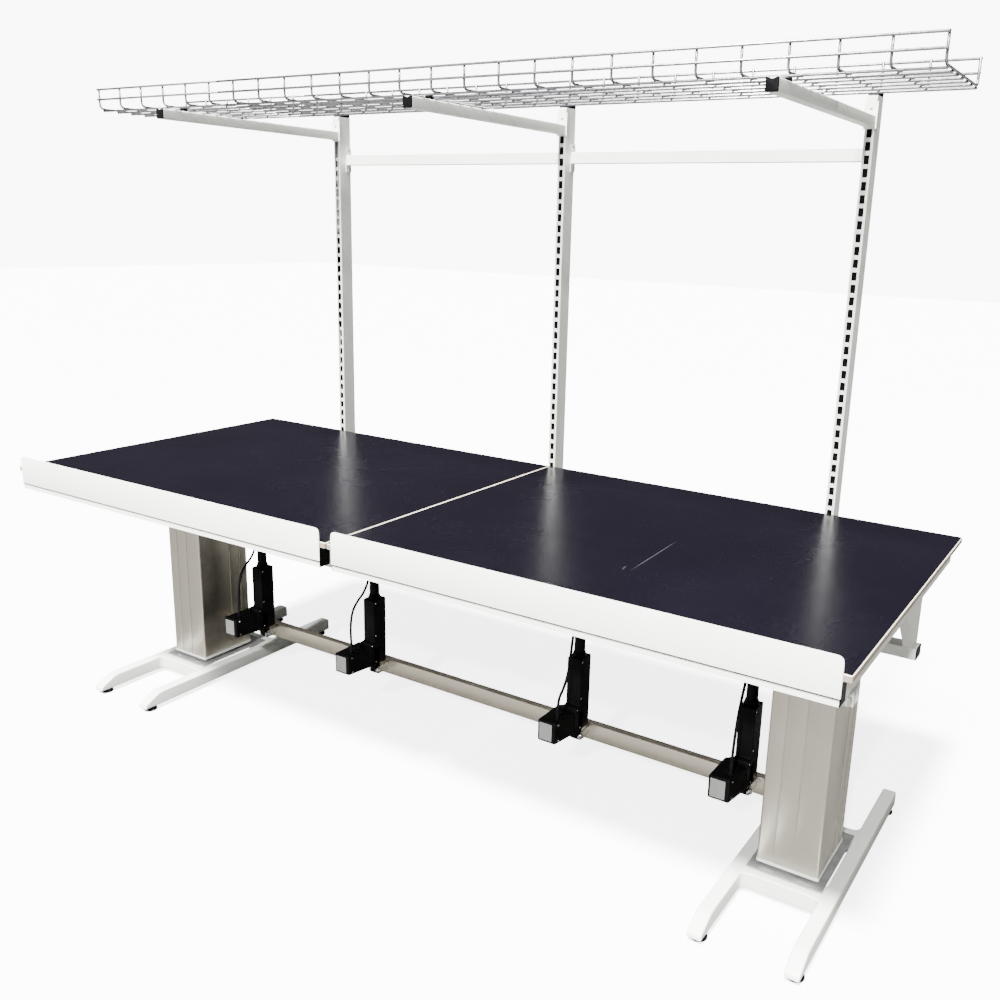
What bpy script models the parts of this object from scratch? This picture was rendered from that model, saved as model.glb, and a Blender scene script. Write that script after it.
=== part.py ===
"""Twin tilt-top work table with lifting columns, modelled piece by piece at real size.

Two equal tops lie side by side. Each hinges at its front on a carriage and is pushed up by two linear
actuators. The carriage rides on two lifting columns, and carries uprights, arms and a cable tray behind
the tops.

Bench coordinates: x runs along the table from its middle, y runs back from the boards' front edge, z is up
from the floor. The root empty then brings the middle of the footprint to the origin. Lengths are in metres.
"""
import math

import bmesh
import bpy
from mathutils import Matrix, Vector

# Fits
GAP = 0.0003
RUNNING_CLEARANCE = 0.0004

# Facets of round forms
ROUND_SIDES = 12
TUBE_SIDES = 16
LUG_STEPS = 5
CORNER_STEPS = 2
BEND_STEPS = 4

# Boards
BOARD_LENGTH = 1.4975
SEAM = 0.005
BOARD_DEPTH = 1.220
BOARD_THICKNESS = 0.018
TOP_HEIGHT = 0.936

# Frame of welded tubes under each board
FRAME_TUBE_WIDTH = 0.040
FRAME_TUBE_HEIGHT = 0.060
FRAME_WALL = 0.0025
FRAME_END_INSET = 0.020
FRAME_REAR_INSET = 0.020
TUBE_CAP_THICKNESS = 0.003
TUBE_CAP_PLUG = 0.012

# Front lip of each top
LIP_THICKNESS = 0.003
LIP_RISE = 0.037
LIP_FOOT_REVEAL = 0.020
LIP_CORNER_RADIUS = 0.018

# Hinge of each top
HINGE_SETBACK = 0.105
HINGE_DROP = 0.027
HINGE_ROD_RADIUS = 0.008
HINGE_LUG_THICKNESS = 0.012
HINGE_LUG_RADIUS = 0.015
HINGE_CHEEK_THICKNESS = 0.008
HINGE_SIDE_PLAY = 0.0015
HINGE_ROD_OVERHANG = 0.006
TILT_RANGE_DEGREES = 30.0

# Carrier that joins the columns' heads to the hinges
HINGE_TUBE_SIZE = 0.040
HINGE_TUBE_SETBACK = 0.025
HINGE_TUBE_RISE = 0.012
HINGE_TUBE_WALL = 0.003
CARRIER_ARM_WIDTH = 0.060
HEAD_PLATE_THICKNESS = 0.010

# Lifting columns
COLUMN_END_INSET = 0.236
SLEEVE_WIDTH = 0.180
SLEEVE_DEPTH = 0.240
SLEEVE_FRONT = 0.502
SLEEVE_WALL = 0.004
SLEEVE_FLOOR_GAP = 0.010
SLEEVE_GROOVE_WIDTH = 0.003
SLEEVE_GROOVE_DEPTH = 0.0015
SLEEVE_GROOVE_SPACING = 0.040
SLEEVE_SLOT_WIDTH = 0.010
SLEEVE_SLOT_SETBACKS = (0.144, 0.197)
LIFT_STROKE = 0.400
INNER_CLEARANCE = 0.0107
INNER_WALL = 0.004
INNER_HEAD_ROOM = 0.050
GLIDE_WIDTH = 0.024
FLANGE_THICKNESS = 0.006
FLANGE_WIDTH = 0.220
FLANGE_FRONT_REACH = 0.026
FLANGE_REAR_REACH = 0.060
FLANGE_SLOT_LENGTH = 0.040
FLANGE_SLOT_WIDTH = 0.010
FLANGE_SLOT_SPACING = 0.110
JACK_BARREL_RADIUS = 0.032
JACK_ROD_RADIUS = 0.015
JACK_HEAD_ROOM = 0.170
JACK_OVERLAP = 0.060

# Base frames
RUNNER_SPACING = 0.266
RUNNER_WIDTH = 0.042
RUNNER_HEIGHT = 0.050
RUNNER_FRONT = 0.165
RUNNER_REAR = 1.148
RUNNER_NOSE_LENGTH = 0.060
RUNNER_NOSE_EDGE = 0.016
RUNNER_REAR_ROUND = 0.010
BASE_BAR_WIDTH = 0.060
BASE_BAR_FRONT_REACH = 0.052
BASE_BAR_REAR_REACH = 0.103
BASE_WALL = 0.004
FOOT_GROUND_GAP = 0.014
FOOT_RADIUS = 0.024
FOOT_RIM_HEIGHT = 0.006
FOOT_SHOULDER_HEIGHT = 0.009
FOOT_SHOULDER_INSET = 0.0025
FOOT_NECK_RADIUS = 0.012
FOOT_SETBACK_FRONT = 0.036
FOOT_SETBACK_REAR = 0.040
FOOT_BLOCK_LENGTH = 0.072
FOOT_STEM_RADIUS = 0.006
FOOT_STEM_DEPTH = 0.024

# Stretcher between the columns, with the forks that hold the actuators' feet
STRETCHER_HEIGHT = 0.060
STRETCHER_DEPTH = 0.030
STRETCHER_WALL = 0.0025
STRETCHER_BOTTOM = 0.138
STRETCHER_OVERHANG = 0.055
PIVOT_REACH = 0.052
PIVOT_RISE = 0.033
PIVOT_PIN_RADIUS = 0.006
FORK_THICKNESS = 0.005
FORK_HALF_HEIGHT = 0.014
FORK_SIDE_PLAY = 0.001

# Linear actuators
ACTUATOR_COLUMN_GAP = 0.107
ACTUATOR_SPACING = 0.5965
ACTUATOR_SHIFT = 0.015
EYE_WIDTH = 0.024
EYE_RADIUS = 0.014
BODY_WIDTH = 0.052
BODY_DEPTH = 0.066
BODY_FOOT_RISE = 0.034
BODY_TOP_RISE = 0.290
BODY_CORNER = 0.006
SHOULDER_HEIGHT = 0.016
SHOULDER_FOOT_RADIUS = 0.024
SHOULDER_HEAD_RADIUS = 0.020
OUTER_TUBE_RADIUS = 0.018
OUTER_TUBE_SEAT = 0.030
OUTER_TUBE_HEAD_ROOM = 0.075
MOTOR_WIDTH = 0.068
MOTOR_SHIFT = -0.025
MOTOR_LENGTH = 0.124
MOTOR_REACH = 0.156
MOTOR_FOOT_RISE = 0.031
MOTOR_HEIGHT = 0.078
MOTOR_CORNER = 0.010
NECK_REACH = 0.055
NECK_FOOT_INSET = 0.004
NECK_TOP_RISE = 0.125
ROD_RADIUS = 0.011
ROD_BOTTOM_RISE = 0.130
UPPER_PIN_DROP = 0.022
UPPER_PIN_RADIUS = 0.006
UPPER_EYE_RADIUS = 0.013
UPPER_FORK_WALL = 0.009
PIN_PATH_STEPS = 60
CABLE_RADIUS = 0.0035
CABLE_POINT_SPACING = 0.0165
CABLE_RISE = 0.030
CABLE_CLIP_HEIGHT = 0.020
CABLE_CLIP_DROP = 0.010
CABLE_CLIP_DEPTH = 0.012
CABLE_CLIP_WIDTH = 0.016
GLAND_RADIUS = 0.0055
GLAND_HEIGHT = 0.010
GLAND_SETBACK = 0.130

# Where each motor cable runs between its gland and its clip, from the left to the right: (y, z) points
CABLE_ROUTES = (
    [(0.562, 0.370), (0.568, 0.420), (0.580, 0.460), (0.604, 0.490), (0.634, 0.515), (0.656, 0.550),
     (0.664, 0.600), (0.6655, 0.650)],
    [(0.558, 0.370), (0.562, 0.415), (0.574, 0.450), (0.598, 0.476), (0.630, 0.500), (0.654, 0.535),
     (0.664, 0.585), (0.6655, 0.645)],
    [(0.568, 0.355), (0.592, 0.380), (0.614, 0.415), (0.628, 0.460), (0.636, 0.510), (0.646, 0.560),
     (0.658, 0.610), (0.6645, 0.655)],
    [(0.563, 0.365), (0.570, 0.415), (0.583, 0.470), (0.602, 0.521), (0.624, 0.565), (0.646, 0.605),
     (0.660, 0.640), (0.6655, 0.670)],
)

# Side frames and rear beam
SIDE_ARM_WIDTH = 0.040
SIDE_ARM_HEIGHT = 0.060
SIDE_ARM_WALL = 0.003
SIDE_ARM_FRONT_INSET = 0.040
SIDE_ARM_DROP = 0.002
BRACKET_WIDTH = 0.030
BRACKET_RUN = 0.186
BEAM_DROP = 0.197
BEAM_HEIGHT = 0.040
BEAM_OVERHANG = 0.012
BEAM_WALL = 0.0025

# Uprights, rails and tray arms
UPRIGHT_COLUMN_INSET = 0.184
UPRIGHT_WIDTH = 0.030
UPRIGHT_DEPTH = 0.066
UPRIGHT_WALL = 0.002
UPRIGHT_BOARD_GAP = 0.011
UPRIGHT_RISE = 1.299
SLOT_PITCH = 0.0385
SLOT_WIDTH = 0.016
SLOT_HEIGHT = 0.026
SLOT_TOP_INSET = 0.030
SLOT_FOOT_INSET = 0.100
RAIL_HEIGHT = 0.040
RAIL_DEPTH = 0.030
RAIL_WALL = 0.002
RAIL_DROP = 0.147
RAIL_FLANGE_THICKNESS = 0.003
RAIL_FLANGE_REACH = 0.028
ARM_WIDTH = 0.033
ARM_HEIGHT = 0.033
ARM_LENGTH = 0.855
ARM_WALL = 0.002
ARM_DROP = 0.058
ARM_CAP_THICKNESS = 0.004
ARM_CAP_PLUG = 0.012
HOOK_PLATE_THICKNESS = 0.003
HOOK_PLATE_WIDTH = 0.040
HOOK_PLATE_RISE = 0.052
HOOK_TONGUE_HEIGHT = 0.012
HOOK_TONGUE_INSET = 0.005
GUSSET_LENGTH = 0.014
GUSSET_DROP = 0.005

# Wire cable tray
TRAY_LENGTH = 2.890
TRAY_WIDTH = 0.400
TRAY_WALL_HEIGHT = 0.076
TRAY_FRONT_INSET = 0.023
TRAY_WIRE = 0.005
TRAY_CROSS_WIRES = 26
TRAY_FLOOR_WIRES = 7
TRAY_MID_WIRE_HEIGHT = 0.033
TRAY_SHORT_WIRES = 6
TRAY_SPLIT_SHARE = 0.38

# Heights and places worked out from the sizes above
BOARD_BOTTOM = TOP_HEIGHT - BOARD_THICKNESS
FRAME_TOP = BOARD_BOTTOM - GAP
FRAME_BOTTOM = FRAME_TOP - FRAME_TUBE_HEIGHT
FRAME_INNER_END = SEAM / 2 + FRAME_END_INSET + TUBE_CAP_THICKNESS
TABLE_END = SEAM / 2 + BOARD_LENGTH
COLUMN_X = TABLE_END - COLUMN_END_INSET
FRAME_OUTER_END = TABLE_END - FRAME_END_INSET - TUBE_CAP_THICKNESS
FRAME_REAR = BOARD_DEPTH - FRAME_REAR_INSET
HINGE_Y = HINGE_SETBACK
HINGE_Z = FRAME_BOTTOM - HINGE_DROP
HINGE_XS = (FRAME_INNER_END + FRAME_TUBE_WIDTH / 2, FRAME_OUTER_END - FRAME_TUBE_WIDTH / 2)
HINGE_TUBE_FRONT = HINGE_Y + HINGE_TUBE_SETBACK
HINGE_TUBE_REAR = HINGE_TUBE_FRONT + HINGE_TUBE_SIZE
HINGE_TUBE_TOP = HINGE_Z + HINGE_TUBE_RISE
HINGE_TUBE_BOTTOM = HINGE_TUBE_TOP - HINGE_TUBE_SIZE
SLEEVE_REAR = SLEEVE_FRONT + SLEEVE_DEPTH
SLEEVE_MIDDLE = SLEEVE_FRONT + SLEEVE_DEPTH / 2
SLEEVE_TOP = HINGE_TUBE_BOTTOM - HEAD_PLATE_THICKNESS - GAP
RUNNER_TOP = FOOT_GROUND_GAP + RUNNER_HEIGHT
FLANGE_BOTTOM = RUNNER_TOP + GAP
FLANGE_TOP = FLANGE_BOTTOM + FLANGE_THICKNESS
SLEEVE_BOTTOM = FLANGE_TOP + SLEEVE_FLOOR_GAP
INNER_TOP = SLEEVE_TOP - INNER_HEAD_ROOM
JACK_BARREL_TOP = SLEEVE_TOP - JACK_HEAD_ROOM
JACK_ROD_BOTTOM = JACK_BARREL_TOP - LIFT_STROKE - JACK_OVERLAP
BASE_BAR_FRONT = SLEEVE_FRONT - BASE_BAR_FRONT_REACH
BASE_BAR_REAR = SLEEVE_REAR + BASE_BAR_REAR_REACH
STRETCHER_FRONT = SLEEVE_REAR + GAP
STRETCHER_END = COLUMN_X + STRETCHER_OVERHANG
PIVOT_Y = STRETCHER_FRONT - PIVOT_REACH
PIVOT_Z = STRETCHER_BOTTOM + PIVOT_RISE
UPPER_PIN_Z = FRAME_BOTTOM - UPPER_PIN_DROP
OUTER_TUBE_TOP = UPPER_PIN_Z - OUTER_TUBE_HEAD_ROOM
BODY_TOP = PIVOT_Z + BODY_TOP_RISE
MOTOR_TOP = PIVOT_Z + MOTOR_FOOT_RISE + MOTOR_HEIGHT
SIDE_ARM_INNER = COLUMN_X + SLEEVE_WIDTH / 2 + GAP
SIDE_ARM_OUTER = SIDE_ARM_INNER + SIDE_ARM_WIDTH
SIDE_ARM_TOP = SLEEVE_TOP - SIDE_ARM_DROP
SIDE_ARM_BOTTOM = SIDE_ARM_TOP - SIDE_ARM_HEIGHT
UPRIGHT_FRONT = BOARD_DEPTH + UPRIGHT_BOARD_GAP
UPRIGHT_REAR = UPRIGHT_FRONT + UPRIGHT_DEPTH
UPRIGHT_TOP = TOP_HEIGHT + UPRIGHT_RISE
BEAM_TOP = SIDE_ARM_BOTTOM - BEAM_DROP
BEAM_BOTTOM = BEAM_TOP - BEAM_HEIGHT
BEAM_END = SIDE_ARM_OUTER + BEAM_OVERHANG
ARM_TOP = UPRIGHT_TOP - ARM_DROP
ARM_REAR = UPRIGHT_FRONT - GAP
ARM_FRONT = ARM_REAR - ARM_LENGTH
LIP_FRONT = -GAP - LIP_THICKNESS
MIDDLE_Y = (LIP_FRONT + UPRIGHT_REAR) / 2
ACTUATOR_OUTER_X = COLUMN_X - SLEEVE_WIDTH / 2 - ACTUATOR_COLUMN_GAP - BODY_WIDTH / 2
ACTUATOR_INNER_X = ACTUATOR_OUTER_X - ACTUATOR_SPACING
ACTUATOR_XS = (ACTUATOR_SHIFT - ACTUATOR_OUTER_X, ACTUATOR_SHIFT - ACTUATOR_INNER_X,
               ACTUATOR_SHIFT + ACTUATOR_INNER_X, ACTUATOR_SHIFT + ACTUATOR_OUTER_X)
UPRIGHT_X = COLUMN_X - UPRIGHT_COLUMN_INSET
UPRIGHT_XS = (-UPRIGHT_X, 0.0, UPRIGHT_X)
SIDES = {"left": -1, "right": 1}

# Colour, roughness and metallic value of each finish
FINISHES = {
    "film_faced_board": ((0.012, 0.011, 0.020, 1), 0.28, 0.0),
    "white_enamel": ((0.80, 0.80, 0.76, 1), 0.35, 0.0),
    "anodised_aluminium": ((0.58, 0.57, 0.53, 1), 0.38, 1.0),
    "stretcher_enamel": ((0.46, 0.42, 0.34, 1), 0.42, 0.2),
    "black_plastic": ((0.010, 0.010, 0.011, 1), 0.45, 0.0),
    "black_rubber": ((0.012, 0.012, 0.012, 1), 0.70, 0.0),
    "bright_steel": ((0.62, 0.62, 0.61, 1), 0.28, 1.0),
    "zinc_wire": ((0.56, 0.57, 0.58, 1), 0.33, 1.0),
}


def clear_scene():
    """Removes what an open file already holds."""
    for item in list(bpy.data.objects):
        bpy.data.objects.remove(item, do_unlink=True)


def make_finishes():
    """Builds one Principled material for each finish."""
    materials = {}
    for name, (colour, roughness, metallic) in FINISHES.items():
        material = bpy.data.materials.new(name)
        material.use_nodes = True
        shader = material.node_tree.nodes["Principled BSDF"]
        shader.inputs["Base Color"].default_value = colour
        shader.inputs["Roughness"].default_value = roughness
        shader.inputs["Metallic"].default_value = metallic
        material.diffuse_color = colour
        materials[name] = material
    return materials


def make_empty(name, place, parent):
    """An empty that carries one moving group; its place is a point on the group's joint axis."""
    empty = bpy.data.objects.new(name, None)
    bpy.context.collection.objects.link(empty)
    empty.parent = parent
    origin = Vector(place)
    empty["bench_place"] = list(origin)
    parent_place = Vector(parent["bench_place"]) if parent else Vector((0, 0, 0))
    empty.location = origin - parent_place
    return empty


def block(x_ends, y_ends, z_ends):
    """A box between two values on each axis, given in either order."""
    shape = bmesh.new()
    low = [min(ends) for ends in (x_ends, y_ends, z_ends)]
    high = [max(ends) for ends in (x_ends, y_ends, z_ends)]
    size = [top - bottom for bottom, top in zip(low, high)]
    middle = [(top + bottom) / 2 for bottom, top in zip(low, high)]
    placing = Matrix.Translation(middle) @ Matrix.Diagonal((*size, 1))
    bmesh.ops.create_cube(shape, size=1.0, matrix=placing)
    return shape


def prism(outline, axis, ends):
    """An outline of (u, v) points carried along axis: x takes (y, z), y takes (x, z) and z takes (x, y)."""
    shape = bmesh.new()
    order = {"x": lambda u, v, w: (w, u, v),
             "y": lambda u, v, w: (u, w, v),
             "z": lambda u, v, w: (u, v, w)}[axis]
    loop = [shape.verts.new(order(u, v, ends[0])) for u, v in outline]
    face = shape.faces.new(loop)
    moved = bmesh.ops.extrude_face_region(shape, geom=[face])["geom"]
    travel = Vector(order(0, 0, ends[1] - ends[0]))
    far_verts = [item for item in moved if isinstance(item, bmesh.types.BMVert)]
    bmesh.ops.translate(shape, vec=travel, verts=far_verts)
    bmesh.ops.recalc_face_normals(shape, faces=shape.faces)
    return shape


def arc(centre, radius, start, end, steps):
    """Points of an arc from start to end, in degrees."""
    angles = [math.radians(start + (end - start) * step / steps) for step in range(steps + 1)]
    return [(centre[0] + radius * math.cos(a), centre[1] + radius * math.sin(a)) for a in angles]


def rod_shape(axis, centre, radius, ends, sides=ROUND_SIDES):
    """A round bar along axis: centre holds its place on the two other axes, in x, y, z order."""
    circle = arc(centre, radius, 0, 360 - 360 / sides, sides - 1)
    return prism(circle, axis, ends)


def rounded_outline(u_ends, v_ends, radius):
    """A rectangle with rounded corners."""
    u0, u1 = min(u_ends), max(u_ends)
    v0, v1 = min(v_ends), max(v_ends)
    points = arc((u1 - radius, v1 - radius), radius, 0, 90, CORNER_STEPS)
    points += arc((u0 + radius, v1 - radius), radius, 90, 180, CORNER_STEPS)
    points += arc((u0 + radius, v0 + radius), radius, 180, 270, CORNER_STEPS)
    points += arc((u1 - radius, v0 + radius), radius, 270, 360, CORNER_STEPS)
    return points


def turned(profile, place, sides=ROUND_SIDES):
    """A solid of revolution about a vertical axis: profile is (radius, z) points with its ends on the axis."""
    shape = bmesh.new()
    verts = [shape.verts.new((radius, 0, z)) for radius, z in profile]
    edges = [shape.edges.new(pair) for pair in zip(verts, verts[1:])]
    bmesh.ops.spin(shape, geom=verts + edges, cent=(0, 0, 0), axis=(0, 0, 1), angle=math.tau, steps=sides,
                   use_merge=True)
    bmesh.ops.remove_doubles(shape, verts=shape.verts, dist=1e-6)
    bmesh.ops.recalc_face_normals(shape, faces=shape.faces)
    bmesh.ops.translate(shape, vec=(place[0], place[1], 0), verts=shape.verts)
    return shape


def joined_mesh(name, shapes):
    """Puts several shapes into one mesh, side by side."""
    mesh = bpy.data.meshes.new(name)
    together = bmesh.new()
    for shape in shapes:
        part = bpy.data.meshes.new("piece")
        shape.to_mesh(part)
        shape.free()
        together.from_mesh(part)
        bpy.data.meshes.remove(part)
    together.to_mesh(mesh)
    together.free()
    return mesh


def combined_mesh(name, shapes, cuts):
    """The union of the shapes less the union of the cuts, with flat faces merged."""
    target = bpy.data.objects.new(name, joined_mesh(name, shapes[:1]))
    helpers = [target]
    steps = [("UNION", [shape]) for shape in shapes[1:]]
    if cuts:
        steps.append(("DIFFERENCE", cuts))
    for operation, operands in steps:
        tool = bpy.data.objects.new(name + "_tool", joined_mesh(name + "_tool", operands))
        tool.hide_render = True
        tool.display_type = "WIRE"
        helpers.append(tool)
        modifier = target.modifiers.new(operation.lower(), "BOOLEAN")
        modifier.operation = operation
        modifier.object = tool
        modifier.use_self = len(operands) > 1
    for helper in helpers:
        bpy.context.collection.objects.link(helper)
    view = bpy.context.evaluated_depsgraph_get()
    mesh = bpy.data.meshes.new_from_object(target.evaluated_get(view))
    for helper in helpers:
        bpy.data.objects.remove(helper, do_unlink=True)
    tidy = bmesh.new()
    tidy.from_mesh(mesh)
    bmesh.ops.remove_doubles(tidy, verts=tidy.verts, dist=1e-6)
    bmesh.ops.dissolve_limit(tidy, angle_limit=math.radians(0.2), verts=tidy.verts, edges=tidy.edges)
    tidy.to_mesh(mesh)
    tidy.free()
    return mesh


class Bench:
    """Collects the pieces: each is one named object, parented to the empty of the group that it moves with."""

    def __init__(self):
        self.finishes = make_finishes()
        self.root = make_empty("table_origin", (0, 0, 0), None)
        self.root.location = (0, -MIDDLE_Y, 0)
        self.groups = {}

    def group(self, name, place=(0, 0, 0), parent=None):
        """Adds a moving group whose joint axis passes through place."""
        self.groups[name] = make_empty(name + "_axis", place, self.groups[parent] if parent else self.root)

    def place_mesh(self, name, group, finish, mesh, smooth=None):
        """Makes the named object from a mesh in bench coordinates."""
        carrier = self.groups[group]
        mesh.transform(Matrix.Translation(-Vector(carrier["bench_place"])))
        mesh.materials.clear()
        mesh.materials.append(self.finishes[finish])
        mesh.name = name
        piece = bpy.data.objects.new(name, mesh)
        bpy.context.collection.objects.link(piece)
        piece.parent = carrier
        if smooth:
            mesh.shade_smooth()
            mesh.set_sharp_from_angle(angle=math.radians(smooth))
        return piece

    def add(self, name, group, finish, shapes, cuts=(), smooth=None):
        """Adds a piece made of shapes less cuts."""
        return self.place_mesh(name, group, finish, combined_mesh(name, list(shapes), list(cuts)), smooth)


def tube_shapes(x_ends, y_ends, z_ends, wall, axis, radius):
    """A rectangular tube along axis, open at both ends: its outer block and the block to cut from it."""
    ends = {"x": x_ends, "y": y_ends, "z": z_ends}
    across = [ends[name] for name in "xyz" if name != axis]
    outer = prism(rounded_outline(*across, radius), axis, ends[axis])
    inset = [(min(pair) + wall, max(pair) - wall) for pair in across]
    inner = {name: pair for name, pair in zip([n for n in "xyz" if n != axis], inset)}
    inner[axis] = (min(ends[axis]) - wall, max(ends[axis]) + wall)
    return outer, block(inner["x"], inner["y"], inner["z"])


def around(middle, width):
    """The two ends of a width about its middle."""
    return (middle - width / 2, middle + width / 2)


def add_base(bench, name, side):
    """H-shaped base frame, open below, with its levelling feet."""
    shapes = []
    cuts = []
    feet = []
    for runner, offset in (("inner", -RUNNER_SPACING / 2), ("outer", RUNNER_SPACING / 2)):
        x = side * (COLUMN_X + offset)
        nose = [(RUNNER_FRONT, FOOT_GROUND_GAP), (RUNNER_FRONT, FOOT_GROUND_GAP + RUNNER_NOSE_EDGE),
                (RUNNER_FRONT + RUNNER_NOSE_LENGTH, RUNNER_TOP)]
        tail = arc((RUNNER_REAR - RUNNER_REAR_ROUND, RUNNER_TOP - RUNNER_REAR_ROUND), RUNNER_REAR_ROUND, 90, 0,
                   CORNER_STEPS)
        shapes.append(prism(nose + tail + [(RUNNER_REAR, FOOT_GROUND_GAP)], "x", around(x, RUNNER_WIDTH)))
        cuts.append(block(around(x, RUNNER_WIDTH - 2 * BASE_WALL),
                          (RUNNER_FRONT + FOOT_BLOCK_LENGTH, RUNNER_REAR - FOOT_BLOCK_LENGTH),
                          (FOOT_GROUND_GAP - BASE_WALL, RUNNER_TOP - BASE_WALL)))
        foot_places = {"front": RUNNER_FRONT + FOOT_SETBACK_FRONT, "rear": RUNNER_REAR - FOOT_SETBACK_REAR}
        for end, y in foot_places.items():
            bore = FOOT_STEM_RADIUS + GAP
            top = FOOT_GROUND_GAP + FOOT_STEM_DEPTH + GAP
            cuts.append(rod_shape("z", (x, y), bore, (FOOT_GROUND_GAP - BASE_WALL, top)))
            feet.append((f"levelling_foot_{name}_{runner}_{end}", x, y))
    reach = (RUNNER_SPACING - RUNNER_WIDTH) / 2 + BASE_WALL / 2
    front_bar = (BASE_BAR_FRONT, BASE_BAR_FRONT + BASE_BAR_WIDTH)
    rear_bar = (BASE_BAR_REAR - BASE_BAR_WIDTH, BASE_BAR_REAR)
    for y_ends in (front_bar, rear_bar):
        x_ends = (side * (COLUMN_X - reach), side * (COLUMN_X + reach))
        shapes.append(block(x_ends, y_ends, (FOOT_GROUND_GAP, RUNNER_TOP)))
        cuts.append(block(around(side * COLUMN_X, RUNNER_SPACING),
                          (y_ends[0] + BASE_WALL, y_ends[1] - BASE_WALL),
                          (FOOT_GROUND_GAP - BASE_WALL, RUNNER_TOP - BASE_WALL)))
    bench.add(f"base_frame_{name}", "base", "white_enamel", shapes, cuts)
    neck_top = FOOT_GROUND_GAP - GAP
    stem_top = FOOT_GROUND_GAP + FOOT_STEM_DEPTH
    profile = [(0, stem_top), (FOOT_STEM_RADIUS, stem_top), (FOOT_STEM_RADIUS, neck_top),
               (FOOT_NECK_RADIUS, neck_top), (FOOT_RADIUS - FOOT_SHOULDER_INSET, FOOT_SHOULDER_HEIGHT),
               (FOOT_RADIUS, FOOT_RIM_HEIGHT), (FOOT_RADIUS, 0), (0, 0)]
    for foot_name, x, y in feet:
        bench.group(foot_name, (x, y, 0), "base")
        bench.add(foot_name, foot_name, "black_rubber", [turned(profile, (x, y))], smooth=30)


def add_column(bench, name, side):
    """Fixed inner profile with its flange, the sleeve that slides on it, and the jack inside."""
    x = side * COLUMN_X
    inner_width = SLEEVE_WIDTH - 2 * SLEEVE_WALL - 2 * INNER_CLEARANCE
    inner_depth = SLEEVE_DEPTH - 2 * SLEEVE_WALL - 2 * INNER_CLEARANCE
    overlap = FLANGE_THICKNESS / 2
    heights = (FLANGE_BOTTOM + overlap, INNER_TOP)
    profile = block(around(x, inner_width), around(SLEEVE_MIDDLE, inner_depth), heights)
    flange_y = (SLEEVE_FRONT - FLANGE_FRONT_REACH, SLEEVE_REAR + FLANGE_REAR_REACH)
    shapes = [profile, block(around(x, FLANGE_WIDTH), flange_y, (FLANGE_BOTTOM, FLANGE_TOP))]
    glide_heights = (SLEEVE_BOTTOM, INNER_TOP)
    glide_reach = INNER_CLEARANCE - GAP
    for sign in (-1, 1):
        face_x = x + sign * (inner_width / 2 - INNER_WALL / 2)
        tip_x = x + sign * (inner_width / 2 + glide_reach)
        face_y = SLEEVE_MIDDLE + sign * (inner_depth / 2 - INNER_WALL / 2)
        tip_y = SLEEVE_MIDDLE + sign * (inner_depth / 2 + glide_reach)
        shapes.append(block((face_x, tip_x), around(SLEEVE_MIDDLE, GLIDE_WIDTH), glide_heights))
        shapes.append(block(around(x, GLIDE_WIDTH), (face_y, tip_y), glide_heights))
    cuts = [block(around(x, inner_width - 2 * INNER_WALL), around(SLEEVE_MIDDLE, inner_depth - 2 * INNER_WALL),
                  (FLANGE_TOP, INNER_TOP + INNER_WALL))]
    for sign in (-1, 1):
        slot_x = x + sign * FLANGE_SLOT_SPACING / 2
        slot_y = flange_y[0] + FLANGE_FRONT_REACH / 2
        cuts.append(block(around(slot_x, FLANGE_SLOT_LENGTH), around(slot_y, FLANGE_SLOT_WIDTH),
                          (FLANGE_BOTTOM - GAP, FLANGE_TOP + GAP)))
    bench.add(f"column_inner_{name}", "base", "anodised_aluminium", shapes, cuts)

    hollow_x = around(x, SLEEVE_WIDTH - 2 * SLEEVE_WALL)
    hollow_y = around(SLEEVE_MIDDLE, SLEEVE_DEPTH - 2 * SLEEVE_WALL)
    tall = (SLEEVE_BOTTOM - SLEEVE_WALL, SLEEVE_TOP + SLEEVE_WALL)
    cuts = [block(hollow_x, hollow_y, tall)]
    for sign in (-1, 1):
        groove_x = x + sign * SLEEVE_GROOVE_SPACING / 2
        for face_y in (SLEEVE_FRONT, SLEEVE_REAR):
            cuts.append(block(around(groove_x, SLEEVE_GROOVE_WIDTH),
                              around(face_y, 2 * SLEEVE_GROOVE_DEPTH), tall))
        for setback in SLEEVE_SLOT_SETBACKS:
            face_x = x + sign * SLEEVE_WIDTH / 2
            cuts.append(block(around(face_x, 2 * SLEEVE_GROOVE_DEPTH),
                              around(SLEEVE_FRONT + setback, SLEEVE_SLOT_WIDTH), tall))
    outer = block(around(x, SLEEVE_WIDTH), (SLEEVE_FRONT, SLEEVE_REAR), (SLEEVE_BOTTOM, SLEEVE_TOP))
    bench.add(f"column_sleeve_{name}", "carriage", "anodised_aluminium", [outer], cuts)

    barrel = rod_shape("z", (x, SLEEVE_MIDDLE), JACK_BARREL_RADIUS, (FLANGE_TOP + GAP, JACK_BARREL_TOP))
    bore = rod_shape("z", (x, SLEEVE_MIDDLE), JACK_ROD_RADIUS + RUNNING_CLEARANCE,
                     (JACK_ROD_BOTTOM - JACK_OVERLAP, JACK_BARREL_TOP + JACK_ROD_RADIUS))
    bench.add(f"lift_jack_barrel_{name}", "base", "bright_steel", [barrel], [bore], smooth=30)
    rod = rod_shape("z", (x, SLEEVE_MIDDLE), JACK_ROD_RADIUS, (JACK_ROD_BOTTOM, SLEEVE_TOP))
    bench.add(f"lift_jack_rod_{name}", "carriage", "bright_steel", [rod], smooth=30)


def lug_outline(tip_y, tip_z, radius, base_points):
    """A lug with a round end about (tip_y, tip_z), closed by the points where it meets its carrier."""
    start, end = base_points["arc"]
    return arc((tip_y, tip_z), radius, start, end, LUG_STEPS) + base_points["foot"]


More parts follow.
